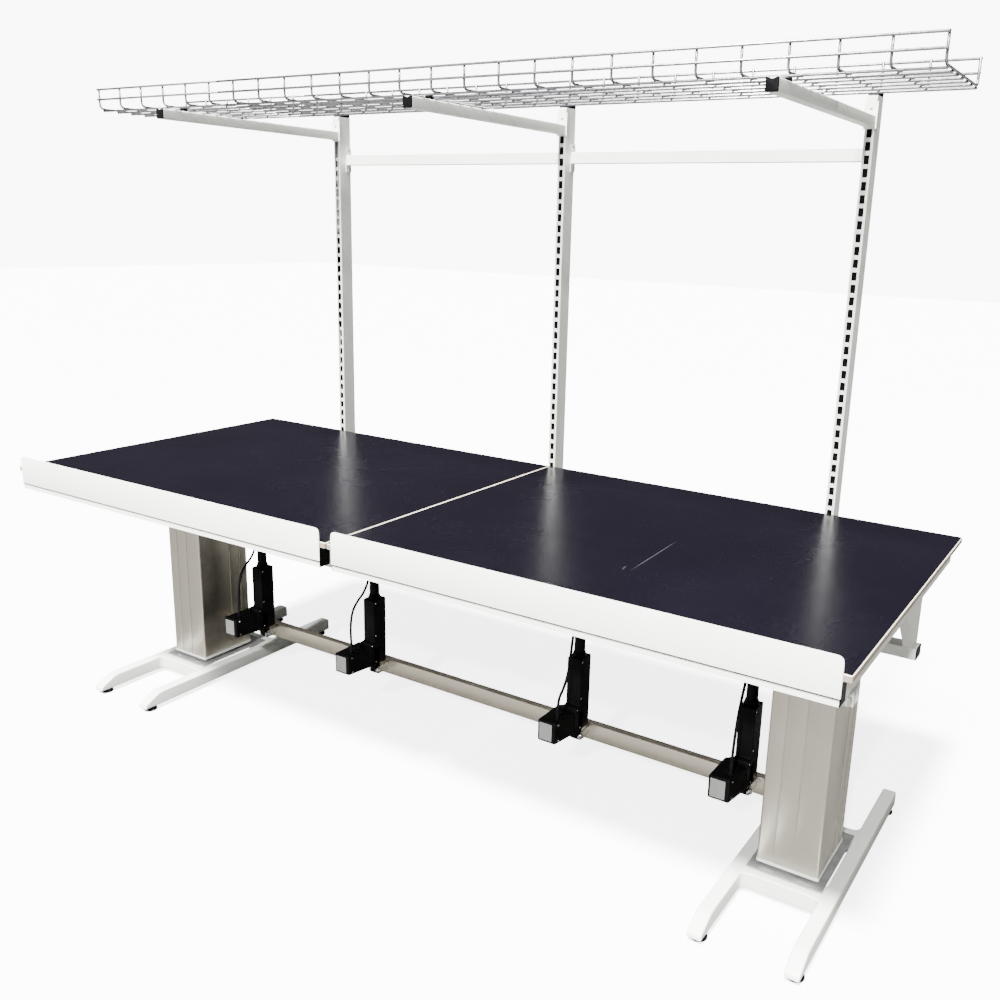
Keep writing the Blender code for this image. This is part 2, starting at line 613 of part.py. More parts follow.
def add_hinge_carrier(bench):
    """Head plates, forward arms and hinge tube in one welded frame, with cheeks for the hinge rods."""
    outer, inner = tube_shapes((-FRAME_OUTER_END, FRAME_OUTER_END), (HINGE_TUBE_FRONT, HINGE_TUBE_REAR),
                               (HINGE_TUBE_BOTTOM, HINGE_TUBE_TOP), HINGE_TUBE_WALL, "x", HINGE_TUBE_WALL)
    shapes = [outer]
    cuts = [inner]
    for side in SIDES.values():
        x = side * COLUMN_X
        shapes.append(block(around(x, CARRIER_ARM_WIDTH), (HINGE_TUBE_REAR - HINGE_TUBE_WALL / 2, SLEEVE_REAR),
                            (HINGE_TUBE_BOTTOM, HINGE_TUBE_TOP)))
        shapes.append(block(around(x, SLEEVE_WIDTH), (SLEEVE_FRONT, SLEEVE_REAR),
                            (SLEEVE_TOP + GAP, HINGE_TUBE_BOTTOM + HINGE_TUBE_WALL / 2)))
        cuts.append(block(around(x, CARRIER_ARM_WIDTH - 2 * HINGE_TUBE_WALL),
                          (HINGE_TUBE_FRONT + HINGE_TUBE_SIZE / 2, SLEEVE_REAR - HINGE_TUBE_WALL),
                          (HINGE_TUBE_BOTTOM + HINGE_TUBE_WALL, HINGE_TUBE_TOP - HINGE_TUBE_WALL)))
        for hinge_x in HINGE_XS:
            for sign in (-1, 1):
                inner_face = side * hinge_x + sign * (HINGE_LUG_THICKNESS / 2 + HINGE_SIDE_PLAY)
                outline = lug_outline(HINGE_Y, HINGE_Z, HINGE_LUG_RADIUS, {
                    "arc": (90, 270),
                    "foot": [(HINGE_TUBE_FRONT + HINGE_TUBE_WALL / 2, HINGE_Z - HINGE_LUG_RADIUS),
                             (HINGE_TUBE_FRONT + HINGE_TUBE_WALL / 2, HINGE_TUBE_TOP - HINGE_TUBE_WALL),
                             (HINGE_Y + HINGE_LUG_RADIUS, HINGE_TUBE_TOP - HINGE_TUBE_WALL)]})
                shapes.append(prism(outline, "x", (inner_face, inner_face + sign * HINGE_CHEEK_THICKNESS)))
                bore = (inner_face - sign * GAP, inner_face + sign * (HINGE_CHEEK_THICKNESS + GAP))
                cuts.append(rod_shape("x", (HINGE_Y, HINGE_Z), HINGE_ROD_RADIUS + RUNNING_CLEARANCE, bore))
    bench.add("hinge_carrier", "carriage", "white_enamel", shapes, cuts)


def add_hinge_rod(bench, name, side):
    """Round bar through the cheeks and lugs at both ends of one top."""
    reach = HINGE_LUG_THICKNESS / 2 + HINGE_SIDE_PLAY + HINGE_CHEEK_THICKNESS + HINGE_ROD_OVERHANG
    ends = (side * (HINGE_XS[0] - reach), side * (HINGE_XS[1] + reach))
    bench.add(f"hinge_rod_{name}", "carriage", "bright_steel",
              [rod_shape("x", (HINGE_Y, HINGE_Z), HINGE_ROD_RADIUS, ends)], smooth=30)


def add_stretcher(bench):
    """Tube behind the column sleeves, with a fork and a pin for the foot of each actuator."""
    depths = (STRETCHER_FRONT, STRETCHER_FRONT + STRETCHER_DEPTH)
    heights = (STRETCHER_BOTTOM, STRETCHER_BOTTOM + STRETCHER_HEIGHT)
    outer, inner = tube_shapes((-STRETCHER_END, STRETCHER_END), depths, heights,
                               STRETCHER_WALL, "x", STRETCHER_WALL)
    shapes = [outer]
    for x in ACTUATOR_XS:
        for sign in (-1, 1):
            face = x + sign * (EYE_WIDTH / 2 + FORK_SIDE_PLAY)
            outline = lug_outline(PIVOT_Y, PIVOT_Z, FORK_HALF_HEIGHT, {
                "arc": (90, 270),
                "foot": [(STRETCHER_FRONT + STRETCHER_WALL / 2, PIVOT_Z - FORK_HALF_HEIGHT),
                         (STRETCHER_FRONT + STRETCHER_WALL / 2, PIVOT_Z + FORK_HALF_HEIGHT)]})
            shapes.append(prism(outline, "x", (face, face + sign * FORK_THICKNESS)))
        pin_reach = EYE_WIDTH / 2 + FORK_SIDE_PLAY + FORK_THICKNESS + PIVOT_PIN_RADIUS
        shapes.append(rod_shape("x", (PIVOT_Y, PIVOT_Z), PIVOT_PIN_RADIUS, around(x, 2 * pin_reach)))
    bench.add("stretcher_tube", "carriage", "stretcher_enamel", shapes, [inner])


def add_side_frame(bench, name, side):
    """Side arm on the sleeve's outer face, with the box bracket that carries the rear beam."""
    arm_x = (side * SIDE_ARM_INNER, side * SIDE_ARM_OUTER)
    outer, inner = tube_shapes(arm_x, (SLEEVE_FRONT + SIDE_ARM_FRONT_INSET, UPRIGHT_REAR),
                               (SIDE_ARM_BOTTOM, SIDE_ARM_TOP), SIDE_ARM_WALL, "y", SIDE_ARM_WALL)
    bracket_x = (side * (SIDE_ARM_OUTER - BRACKET_WIDTH), side * SIDE_ARM_OUTER)
    bracket = prism(bracket_outline(0), "x", bracket_x)
    hollow = prism(bracket_outline(SIDE_ARM_WALL), "x", (bracket_x[0] + side * SIDE_ARM_WALL,
                                                         bracket_x[1] - side * SIDE_ARM_WALL))
    bench.add(f"side_frame_{name}", "carriage", "white_enamel", [outer, bracket], [inner, hollow])


def bracket_outline(inset):
    """The bracket's tapered side, upright at the rear and leaning at the front, inset except at its top."""
    foot = BEAM_TOP + GAP + inset
    head = SIDE_ARM_BOTTOM + SIDE_ARM_WALL / 2 + inset
    lean = BRACKET_RUN / (SIDE_ARM_BOTTOM - BEAM_TOP)
    front = UPRIGHT_FRONT + inset * math.hypot(1, lean)
    rear = UPRIGHT_REAR - inset
    return [(front - lean * inset, foot), (rear, foot), (rear, head), (front - lean * (head - BEAM_TOP), head)]


def add_rear_beam(bench):
    """Tube along the rear that the brackets and uprights stand on."""
    outer, inner = tube_shapes((-BEAM_END, BEAM_END), (UPRIGHT_FRONT, UPRIGHT_REAR), (BEAM_BOTTOM, BEAM_TOP),
                               BEAM_WALL, "x", BEAM_WALL)
    bench.add("rear_beam", "carriage", "white_enamel", [outer], [inner])


def add_upright(bench, name, x):
    """Slotted upright that stands on the rear beam."""
    outer, inner = tube_shapes(around(x, UPRIGHT_WIDTH), (UPRIGHT_FRONT, UPRIGHT_REAR),
                               (BEAM_TOP + GAP, UPRIGHT_TOP), UPRIGHT_WALL, "z", UPRIGHT_WALL)
    cuts = [inner]
    first = UPRIGHT_TOP - SLOT_TOP_INSET
    count = math.floor((first - BEAM_TOP - SLOT_FOOT_INSET) / SLOT_PITCH) + 1
    for index in range(count):
        cuts.append(block(around(x, SLOT_WIDTH), (UPRIGHT_FRONT - GAP, UPRIGHT_FRONT + UPRIGHT_WALL + GAP),
                          around(first - index * SLOT_PITCH, SLOT_HEIGHT)))
    bench.add(f"upright_{name}", "carriage", "white_enamel", [outer], cuts)


def add_rail(bench, name, x_ends):
    """Rail between two uprights, with a flange at each end."""
    low, high = x_ends[0] + UPRIGHT_WIDTH / 2 + GAP, x_ends[1] - UPRIGHT_WIDTH / 2 - GAP
    top = UPRIGHT_TOP - RAIL_DROP
    y_ends = (UPRIGHT_REAR - RAIL_DEPTH, UPRIGHT_REAR)
    outer, inner = tube_shapes((low, high), y_ends, (top - RAIL_HEIGHT, top), RAIL_WALL, "x", RAIL_WALL)
    heights = (top - RAIL_HEIGHT - RAIL_FLANGE_REACH, top + RAIL_FLANGE_REACH)
    flanges = [block((low, low + RAIL_FLANGE_THICKNESS), y_ends, heights),
               block((high - RAIL_FLANGE_THICKNESS, high), y_ends, heights)]
    bench.add(f"rail_{name}", "carriage", "white_enamel", [outer] + flanges, [inner])


def add_tray_arm(bench, name, x):
    """Cantilever arm with its hook plate and curved gusset, and the cap that closes its front."""
    x_ends = around(x, ARM_WIDTH)
    z_ends = (ARM_TOP - ARM_HEIGHT, ARM_TOP)
    outer, inner = tube_shapes(x_ends, (ARM_FRONT, ARM_REAR), z_ends, ARM_WALL, "y", ARM_WALL)
    sink = ARM_WALL / 2
    plate_top = ARM_TOP + HOOK_PLATE_RISE
    plate_bottom = z_ends[0] - GUSSET_DROP
    half = HOOK_PLATE_WIDTH / 2
    neck = half - HOOK_TONGUE_INSET
    shoulder = plate_top - HOOK_TONGUE_HEIGHT
    outline = [(x - half, plate_bottom), (x + half, plate_bottom), (x + half, shoulder), (x + neck, shoulder),
               (x + neck, plate_top), (x - neck, plate_top), (x - neck, shoulder), (x - half, shoulder)]
    plate = prism(outline, "y", (ARM_REAR - HOOK_PLATE_THICKNESS, ARM_REAR))
    corner = (ARM_REAR - HOOK_PLATE_THICKNESS - GUSSET_LENGTH, plate_bottom)
    quarter = arc((0, 0), 1, 90, 0, BEND_STEPS)
    sweep = [(corner[0] + GUSSET_LENGTH * u, corner[1] + GUSSET_DROP * v) for u, v in quarter]
    gusset = prism(sweep + [(ARM_REAR - sink, plate_bottom), (ARM_REAR - sink, z_ends[0] + sink),
                            (corner[0], z_ends[0] + sink)], "x", x_ends)
    bench.add(f"tray_arm_{name}", "carriage", "white_enamel", [outer, plate, gusset], [inner])
    inset = ARM_WALL + GAP
    face = block(x_ends, (ARM_FRONT - GAP - ARM_CAP_THICKNESS, ARM_FRONT - GAP), z_ends)
    plug = block((x_ends[0] + inset, x_ends[1] - inset),
                 (ARM_FRONT - GAP - ARM_CAP_THICKNESS / 2, ARM_FRONT + ARM_CAP_PLUG),
                 (z_ends[0] + inset, z_ends[1] - inset))
    bench.add(f"arm_cap_{name}", "carriage", "black_plastic", [face, plug])


def lattice(x_wires, y_wires, z_wires, x_span, filled):
    """A welded wire lattice as one body.

    Each axis is cut at both faces of every wire, and the cells that filled(x, y, z) names, by whether they lie
    on a wire of each axis, become the solid: only faces between a filled and an empty cell are kept.
    """
    half = TRAY_WIRE / 2
    axes = []
    for wires in (x_wires, y_wires, z_wires):
        planes = sorted([wire - half for wire in wires] + [wire + half for wire in wires])
        pairs = zip(planes, planes[1:])
        axes.append([(low, high, index % 2 == 0, index) for index, (low, high) in enumerate(pairs)])
    ends = [(x_span[0], axes[0][0][0]), (axes[0][-1][1], x_span[1])]
    axes[0] = [(ends[0][0], ends[0][1], False, -1)] * (ends[0][1] > ends[0][0]) + axes[0]
    axes[0] = axes[0] + [(ends[1][0], ends[1][1], False, -1)] * (ends[1][1] > ends[1][0])
    counts = [len(cells) for cells in axes]
    solid = {(i, j, k) for i in range(counts[0]) for j in range(counts[1]) for k in range(counts[2])
             if filled(axes[0][i], axes[1][j], axes[2][k], counts)}
    shape = bmesh.new()
    corners = {}

    def corner(i, j, k):
        """The vertex at one meeting of the cutting planes."""
        if (i, j, k) not in corners:
            place = [axes[n][c][0] if c < counts[n] else axes[n][-1][1] for n, c in enumerate((i, j, k))]
            corners[(i, j, k)] = shape.verts.new(place)
        return corners[(i, j, k)]

    for i, j, k in sorted(solid):
        for axis in range(3):
            for step in (0, 1):
                neighbour = [i, j, k]
                neighbour[axis] += 2 * step - 1
                if tuple(neighbour) in solid:
                    continue
                ring = []
                for du, dv in ((0, 0), (1, 0), (1, 1), (0, 1)):
                    spot = [i, j, k]
                    spot[axis] += step
                    spot[(axis + 1) % 3] += du
                    spot[(axis + 2) % 3] += dv
                    ring.append(corner(*spot))
                shape.faces.new(ring if step else ring[::-1])
    return shape


def add_tray(bench):
    """U-shaped wire tray in two lengths, resting on the arms."""
    pitch = (TRAY_LENGTH - TRAY_WIRE) / (TRAY_CROSS_WIRES - 1)
    right_end = TRAY_LENGTH / 2 - TRAY_WIRE / 2
    cross = [right_end - index * pitch for index in range(TRAY_CROSS_WIRES)][::-1]
    front = ARM_FRONT + TRAY_FRONT_INSET
    y_step = (TRAY_WIDTH - TRAY_WIRE) / (TRAY_FLOOR_WIRES - 1)
    y_wires = [front + TRAY_WIRE / 2 + index * y_step for index in range(TRAY_FLOOR_WIRES)]
    floor = ARM_TOP + GAP + TRAY_WIRE / 2
    z_wires = [floor, floor + TRAY_MID_WIRE_HEIGHT, floor + TRAY_WALL_HEIGHT - TRAY_WIRE]

    def filled(x_cell, y_cell, z_cell, counts):
        """Floor and walls hold wire where a cross wire or a long wire passes."""
        on_floor = z_cell[3] == 0
        on_wall = y_cell[3] in (0, counts[1] - 1)
        if on_floor:
            return x_cell[2] or y_cell[2]
        return on_wall and (x_cell[2] or z_cell[2])

    split = cross[TRAY_SHORT_WIRES - 1] + TRAY_SPLIT_SHARE * pitch
    lengths = {"short": (cross[:TRAY_SHORT_WIRES], (cross[0] - TRAY_WIRE / 2, split - GAP / 2)),
               "long": (cross[TRAY_SHORT_WIRES:], (split + GAP / 2, cross[-1] + TRAY_WIRE / 2))}
    for name, (x_wires, x_span) in lengths.items():
        shape = lattice(x_wires, y_wires, z_wires, x_span, filled)
        bench.place_mesh(f"cable_tray_{name}", "carriage", "zinc_wire", joined_mesh(name, [shape]))


def add_top(bench, name, side):
    """One tilting top: board, tube frame with lugs and forks, lip and end caps."""
    group = f"{name}_top"
    board_ends = (side * SEAM / 2, side * TABLE_END)
    bench.add(f"board_{name}", group, "film_faced_board",
              [block(board_ends, (0, BOARD_DEPTH), (BOARD_BOTTOM, TOP_HEIGHT))])
    add_top_frame(bench, name, side, group)
    x_ends = sorted((side * (SEAM / 2 + FRAME_END_INSET), side * (TABLE_END - FRAME_END_INSET)))
    low, high = FRAME_BOTTOM + LIP_FOOT_REVEAL, TOP_HEIGHT + LIP_RISE
    outline = [(x_ends[0], low), (x_ends[1], low)]
    bend_z = high - LIP_CORNER_RADIUS
    outline += arc((x_ends[1] - LIP_CORNER_RADIUS, bend_z), LIP_CORNER_RADIUS, 0, 90, BEND_STEPS)
    outline += arc((x_ends[0] + LIP_CORNER_RADIUS, bend_z), LIP_CORNER_RADIUS, 90, 180, BEND_STEPS)
    bench.add(f"front_lip_{name}", group, "white_enamel", [prism(outline, "y", (LIP_FRONT, -GAP))])
    inset = FRAME_WALL + GAP
    tube_ends = (("inner", side * FRAME_INNER_END, -side), ("outer", side * FRAME_OUTER_END, side))
    for end, face_x, outward in tube_ends:
        plate = block((face_x + outward * GAP, face_x + outward * TUBE_CAP_THICKNESS), (0, FRAME_TUBE_WIDTH),
                      (FRAME_BOTTOM, FRAME_TOP))
        plug = block((face_x + outward * TUBE_CAP_THICKNESS / 2, face_x - outward * TUBE_CAP_PLUG),
                     (inset, FRAME_TUBE_WIDTH - inset), (FRAME_BOTTOM + inset, FRAME_TOP - inset))
        bench.add(f"tube_cap_{name}_{end}", group, "black_plastic", [plate, plug])


def swing_and_stroke(tilt):
    """How far an actuator swings back (radians) and extends when its top tilts, from where its pins lie."""
    reach_y, reach_z = PIVOT_Y - HINGE_Y, UPPER_PIN_Z - HINGE_Z
    pin_y = HINGE_Y + reach_y * math.cos(tilt) - reach_z * math.sin(tilt)
    pin_z = HINGE_Z + reach_y * math.sin(tilt) + reach_z * math.cos(tilt)
    swing = math.atan2(PIVOT_Y - pin_y, pin_z - PIVOT_Z)
    return swing, math.hypot(pin_y - PIVOT_Y, pin_z - PIVOT_Z) - (UPPER_PIN_Z - PIVOT_Z)


def upper_pin_path():
    """Where the upper pin lies in its fork over the tilt, with swing and stroke in constant ratio to it."""
    full = math.radians(TILT_RANGE_DEGREES)
    full_swing, full_stroke = swing_and_stroke(full)
    path = []
    for step in range(PIN_PATH_STEPS + 1):
        share = step / PIN_PATH_STEPS
        tilt, swing, stroke = full * share, full_swing * share, full_stroke * share
        length = UPPER_PIN_Z - PIVOT_Z + stroke
        y = PIVOT_Y - length * math.sin(swing) - HINGE_Y
        z = PIVOT_Z + length * math.cos(swing) - HINGE_Z
        path.append((HINGE_Y + y * math.cos(tilt) + z * math.sin(tilt),
                     HINGE_Z - y * math.sin(tilt) + z * math.cos(tilt)))
    return path


def add_top_frame(bench, name, side, group):
    """Ladder of welded tubes, hollow to the front tube's open ends, with hinge lugs and slotted forks."""
    x_ends = (side * FRAME_INNER_END, side * FRAME_OUTER_END)
    z_ends = (FRAME_BOTTOM, FRAME_TOP)
    hollow_z = (FRAME_BOTTOM + FRAME_WALL, FRAME_TOP - FRAME_WALL)
    rear = (FRAME_REAR - FRAME_TUBE_WIDTH, FRAME_REAR)
    shapes = [block(x_ends, (0, FRAME_TUBE_WIDTH), z_ends), block(x_ends, rear, z_ends)]
    open_ends = (x_ends[0] - side * FRAME_WALL, x_ends[1] + side * FRAME_WALL)
    closed_ends = (x_ends[0] + side * FRAME_WALL, x_ends[1] - side * FRAME_WALL)
    cuts = [block(open_ends, (FRAME_WALL, FRAME_TUBE_WIDTH - FRAME_WALL), hollow_z),
            block(closed_ends, (rear[0] + FRAME_WALL, rear[1] - FRAME_WALL), hollow_z)]
    actuators = [x for x in ACTUATOR_XS if x * side > 0]
    for x in [side * hinge_x for hinge_x in HINGE_XS] + actuators:
        shapes.append(block(around(x, FRAME_TUBE_WIDTH), (FRAME_WALL, rear[1] - FRAME_WALL), z_ends))
        cuts.append(block(around(x, FRAME_TUBE_WIDTH - 2 * FRAME_WALL),
                          (FRAME_TUBE_WIDTH / 2, rear[1] - FRAME_TUBE_WIDTH / 2), hollow_z))
    sink = FRAME_WALL / 2
    for hinge_x in HINGE_XS:
        outline = lug_outline(HINGE_Y, HINGE_Z, HINGE_LUG_RADIUS, {
            "arc": (180, 360), "foot": [(HINGE_Y + HINGE_LUG_RADIUS, FRAME_BOTTOM + sink),
                                        (HINGE_Y - HINGE_LUG_RADIUS, FRAME_BOTTOM + sink)]})
        lug_x = around(side * hinge_x, HINGE_LUG_THICKNESS)
        shapes.append(prism(outline, "x", lug_x))
        cuts.append(rod_shape("x", (HINGE_Y, HINGE_Z), HINGE_ROD_RADIUS + RUNNING_CLEARANCE,
                              (lug_x[0] - GAP, lug_x[1] + GAP)))
    path = upper_pin_path()
    margin = UPPER_PIN_RADIUS + 2 * RUNNING_CLEARANCE
    slot_y = (min(y for y, z in path) - margin, max(y for y, z in path) + margin)
    slot_z = (min(z for y, z in path) - margin, max(z for y, z in path) + margin)
    for x in actuators:
        for sign in (-1, 1):
            face = x + sign * (EYE_WIDTH / 2 + FORK_SIDE_PLAY)
            fork_x = (face, face + sign * FORK_THICKNESS)
            shapes.append(block(fork_x, (slot_y[0] - UPPER_FORK_WALL, slot_y[1] + UPPER_FORK_WALL),
                                (slot_z[0] - UPPER_FORK_WALL, FRAME_BOTTOM + sink)))
            cuts.append(block((face - sign * GAP, face + sign * (FORK_THICKNESS + GAP)), slot_y, slot_z))
    bench.add(f"top_frame_{name}", group, "white_enamel", shapes, cuts)


def add_actuator(bench, number, x):
    """Linear actuator: housing with motor and outer tube, push rod with its cross pin, and motor cable."""
    body_group = f"actuator_{number}"
    rod_group = f"push_rod_{number}"
    foot = PIVOT_Z + BODY_FOOT_RISE
    body_outline = rounded_outline(around(x, BODY_WIDTH), around(PIVOT_Y, BODY_DEPTH), BODY_CORNER)
    body = prism(body_outline, "z", (foot, BODY_TOP))
    cone_foot = BODY_TOP - GAP
    cone_head = BODY_TOP + SHOULDER_HEIGHT
    shoulder = turned([(0, cone_head), (SHOULDER_HEAD_RADIUS, cone_head), (SHOULDER_FOOT_RADIUS, cone_foot),
                       (0, cone_foot)], (x, PIVOT_Y), TUBE_SIDES)
    tube_z = (BODY_TOP - OUTER_TUBE_SEAT, OUTER_TUBE_TOP)
    tube = rod_shape("z", (x, PIVOT_Y), OUTER_TUBE_RADIUS, tube_z, TUBE_SIDES)
    motor_z = (PIVOT_Z + MOTOR_FOOT_RISE, MOTOR_TOP)
    motor_front = PIVOT_Y - MOTOR_REACH
    motor = prism(rounded_outline(around(x + MOTOR_SHIFT, MOTOR_WIDTH), motor_z, MOTOR_CORNER), "y",
                  (motor_front, motor_front + MOTOR_LENGTH))
    neck = block(around(x, BODY_WIDTH), (PIVOT_Y - NECK_REACH, PIVOT_Y),
                 (motor_z[0] + NECK_FOOT_INSET, PIVOT_Z + NECK_TOP_RISE))
    eye_x = around(x, EYE_WIDTH)
    eye_head = foot + EYE_RADIUS
    eye_outline = lug_outline(PIVOT_Y, PIVOT_Z, EYE_RADIUS, {
        "arc": (180, 360),
        "foot": [(PIVOT_Y + EYE_RADIUS, eye_head), (PIVOT_Y - EYE_RADIUS, eye_head)]})
    eye = prism(eye_outline, "x", eye_x)
    gland_y = PIVOT_Y - GLAND_SETBACK
    gland = rod_shape("z", (x, gland_y), GLAND_RADIUS, (MOTOR_TOP - GLAND_HEIGHT, MOTOR_TOP + GLAND_HEIGHT))
    clip_y = PIVOT_Y - OUTER_TUBE_RADIUS
    clip_top = OUTER_TUBE_TOP - CABLE_CLIP_DROP
    clip_bottom = clip_top - CABLE_CLIP_HEIGHT
    clip = block(around(x, CABLE_CLIP_WIDTH), (clip_y - CABLE_CLIP_DEPTH, PIVOT_Y), (clip_bottom, clip_top))
    bore = rod_shape("z", (x, PIVOT_Y), ROD_RADIUS + RUNNING_CLEARANCE,
                     (PIVOT_Z + ROD_BOTTOM_RISE - ROD_RADIUS, OUTER_TUBE_TOP + ROD_RADIUS))
    eye_bore = rod_shape("x", (PIVOT_Y, PIVOT_Z), PIVOT_PIN_RADIUS + RUNNING_CLEARANCE,
                         (eye_x[0] - GAP, eye_x[1] + GAP))
    bench.add(f"actuator_housing_{number}", body_group, "black_plastic",
              [body, shoulder, tube, neck, motor, eye, gland, clip], [bore, eye_bore], smooth=40)

    rod = rod_shape("z", (x, PIVOT_Y), ROD_RADIUS, (PIVOT_Z + ROD_BOTTOM_RISE, UPPER_PIN_Z))
    head = rod_shape("x", (PIVOT_Y, UPPER_PIN_Z), UPPER_EYE_RADIUS, around(x, EYE_WIDTH))
    pin_reach = EYE_WIDTH / 2 + FORK_SIDE_PLAY + FORK_THICKNESS + UPPER_PIN_RADIUS / 2
    pin = rod_shape("x", (PIVOT_Y, UPPER_PIN_Z), UPPER_PIN_RADIUS, around(x, 2 * pin_reach))
    bench.add(f"push_rod_{number}", rod_group, "bright_steel", [rod, head, pin], smooth=40)
    gland_top = MOTOR_TOP + GLAND_HEIGHT
    clip_middle = clip_y - CABLE_CLIP_DEPTH / 2
    route = [(gland_y, gland_top + GAP), (gland_y, gland_top + CABLE_RISE)] + CABLE_ROUTES[number - 1]
    route += [(clip_middle, clip_bottom - CABLE_RISE), (clip_middle, clip_bottom - GAP)]
    add_cable(bench, f"motor_cable_{number}", body_group, [(x, y, z) for y, z in route])


def smooth_route(points, spacing):
    """Points about spacing apart on a Catmull-Rom curve through the route's own points."""
    route = [Vector(point) for point in points]
    padded = [2 * route[0] - route[1]] + route + [2 * route[-1] - route[-2]]
    smooth = []
    for before, start, end, after in zip(padded, padded[1:], padded[2:], padded[3:]):
        steps = max(2, round((end - start).length / spacing))
        slope = end - before
        bend = 2 * before - 5 * start + 4 * end - after
        turn = 3 * start - before - 3 * end + after
        for step in range(steps):
            t = step / steps
            smooth.append(0.5 * (2 * start + slope * t + bend * t ** 2 + turn * t ** 3))
    return smooth + [route[-1]]


def add_cable(bench, name, group, points):
    """A round cable along a smooth route, with closed ends."""
    curve = bpy.data.curves.new(name, "CURVE")
    curve.dimensions = "3D"
    curve.bevel_depth = CABLE_RADIUS
    curve.bevel_resolution = 2
    curve.use_fill_caps = True
    spline = curve.splines.new("POLY")
    place = Vector(bench.groups[group]["bench_place"])
    route = [point - place for point in smooth_route(points, CABLE_POINT_SPACING)]
    spline.points.add(len(route) - 1)
    for point, spot in zip(spline.points, route):
        point.co = (*spot, 1)
    curve.materials.append(bench.finishes["black_rubber"])
    cable = bpy.data.objects.new(name, curve)
    bpy.context.collection.objects.link(cable)
    cable.parent = bench.groups[group]


def main():
    """Builds the table, group by group."""
    clear_scene()
    bench = Bench()
    bench.group("base")
    bench.group("carriage", (0, SLEEVE_MIDDLE, 0), "base")
    for name, side in SIDES.items():
        bench.group(f"{name}_top", (side * TABLE_END / 2, HINGE_Y, HINGE_Z), "carriage")
        add_base(bench, name, side)
        add_column(bench, name, side)
        add_hinge_rod(bench, name, side)
        add_side_frame(bench, name, side)
        add_top(bench, name, side)
    add_hinge_carrier(bench)
    add_stretcher(bench)
    add_rear_beam(bench)
    for name, x in zip(("left", "middle", "right"), UPRIGHT_XS):
        add_upright(bench, name, x)
        add_tray_arm(bench, name, x)
    add_rail(bench, "left", UPRIGHT_XS[:2])
    add_rail(bench, "right", UPRIGHT_XS[1:])
    add_tray(bench)
    for number, x in enumerate(ACTUATOR_XS, 1):
        bench.group(f"actuator_{number}", (x, PIVOT_Y, PIVOT_Z), "carriage")
        bench.group(f"push_rod_{number}", (x, PIVOT_Y, UPPER_PIN_Z), f"actuator_{number}")
        add_actuator(bench, number, x)
    swing, stroke = swing_and_stroke(math.radians(TILT_RANGE_DEGREES))
    print("hinge axis", 0, round(HINGE_Y - MIDDLE_Y, 5), round(HINGE_Z, 5))
    print("actuator foot", round(PIVOT_Y - MIDDLE_Y, 5), round(PIVOT_Z, 5), "upper pin", round(UPPER_PIN_Z, 5))
    print("full swing", round(swing, 6), "full stroke", round(stroke, 6))


main()
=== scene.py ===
"""Looks of a twin tilt-top work table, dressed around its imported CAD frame.

The file is laid out as an add-on: property groups hold the sizes and colours that a user would change, one
operator makes each piece or group of like pieces, and a panel lists them. Run as a script, it makes them all.
Lengths are in metres, in the frame's axes: x along the table, y to its rear, z up from the floor.
"""
import math
from collections import namedtuple
from itertools import product

import bpy
import numpy as np
from bpy.props import FloatProperty, FloatVectorProperty, PointerProperty
from mathutils import Matrix, Vector


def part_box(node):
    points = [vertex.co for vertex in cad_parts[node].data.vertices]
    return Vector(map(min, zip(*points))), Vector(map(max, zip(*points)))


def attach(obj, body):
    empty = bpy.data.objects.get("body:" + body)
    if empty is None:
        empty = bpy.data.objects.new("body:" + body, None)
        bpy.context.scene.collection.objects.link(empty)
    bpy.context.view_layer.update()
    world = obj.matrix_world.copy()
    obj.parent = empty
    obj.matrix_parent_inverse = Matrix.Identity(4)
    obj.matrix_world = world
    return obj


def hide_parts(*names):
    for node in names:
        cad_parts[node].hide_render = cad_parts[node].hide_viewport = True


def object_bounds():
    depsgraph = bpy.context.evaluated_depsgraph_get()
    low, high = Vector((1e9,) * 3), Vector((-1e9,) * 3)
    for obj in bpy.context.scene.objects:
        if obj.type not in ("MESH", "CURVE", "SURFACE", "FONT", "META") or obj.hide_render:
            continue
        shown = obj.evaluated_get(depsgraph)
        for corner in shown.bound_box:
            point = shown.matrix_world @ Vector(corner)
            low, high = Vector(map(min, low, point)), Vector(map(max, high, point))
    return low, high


bl_info = {
    "name": "Tilt-top work table",
    "version": (1, 0, 0),
    "blender": (4, 5, 0),
    "location": "View3D > Sidebar > Table",
    "description": "Dresses the twin tilt-top work table in its finished pieces and materials",
    "category": "Object",
}

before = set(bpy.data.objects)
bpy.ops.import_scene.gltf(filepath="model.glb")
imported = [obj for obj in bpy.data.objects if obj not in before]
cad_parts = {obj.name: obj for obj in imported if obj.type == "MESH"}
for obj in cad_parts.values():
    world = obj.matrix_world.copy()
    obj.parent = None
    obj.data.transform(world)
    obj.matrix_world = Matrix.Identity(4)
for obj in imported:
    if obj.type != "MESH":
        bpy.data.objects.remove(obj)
CAD_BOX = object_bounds()
SIDES = ("left", "right")
UPRIGHTS = ("left", "middle", "right")
DRIVES = (1, 2, 3, 4)

# Where the camera of the photograph stands, and how it is turned, in degrees
CAMERA_PLACE = (1.95936, -2.65300, 1.83139)
CAMERA_TURN = 31.789
CAMERA_DIP = 14.638
CAMERA_ROLL = 1.70
CAMERA_LENS = 36.28
CAMERA_SENSOR = 36.0
CAMERA_SHIFT = (-0.0404, -0.0116)
CAMERA_RANGE = 200.0

# Studio: the floor, the fill light, and the rises between which the walls' light turns into the ceiling's
FLOOR_REACH = 30.0
FLOOR_CELLS = 8
FLOOR_GAP = 0.0004
FILL_SIZE = (4.0, 3.0)
FILL_PLACE = (-4.6, -3.8, 2.4)
FILL_AIM = (-0.2, 0.0, 0.7)
CEILING_FADE = (0.5, 0.85)

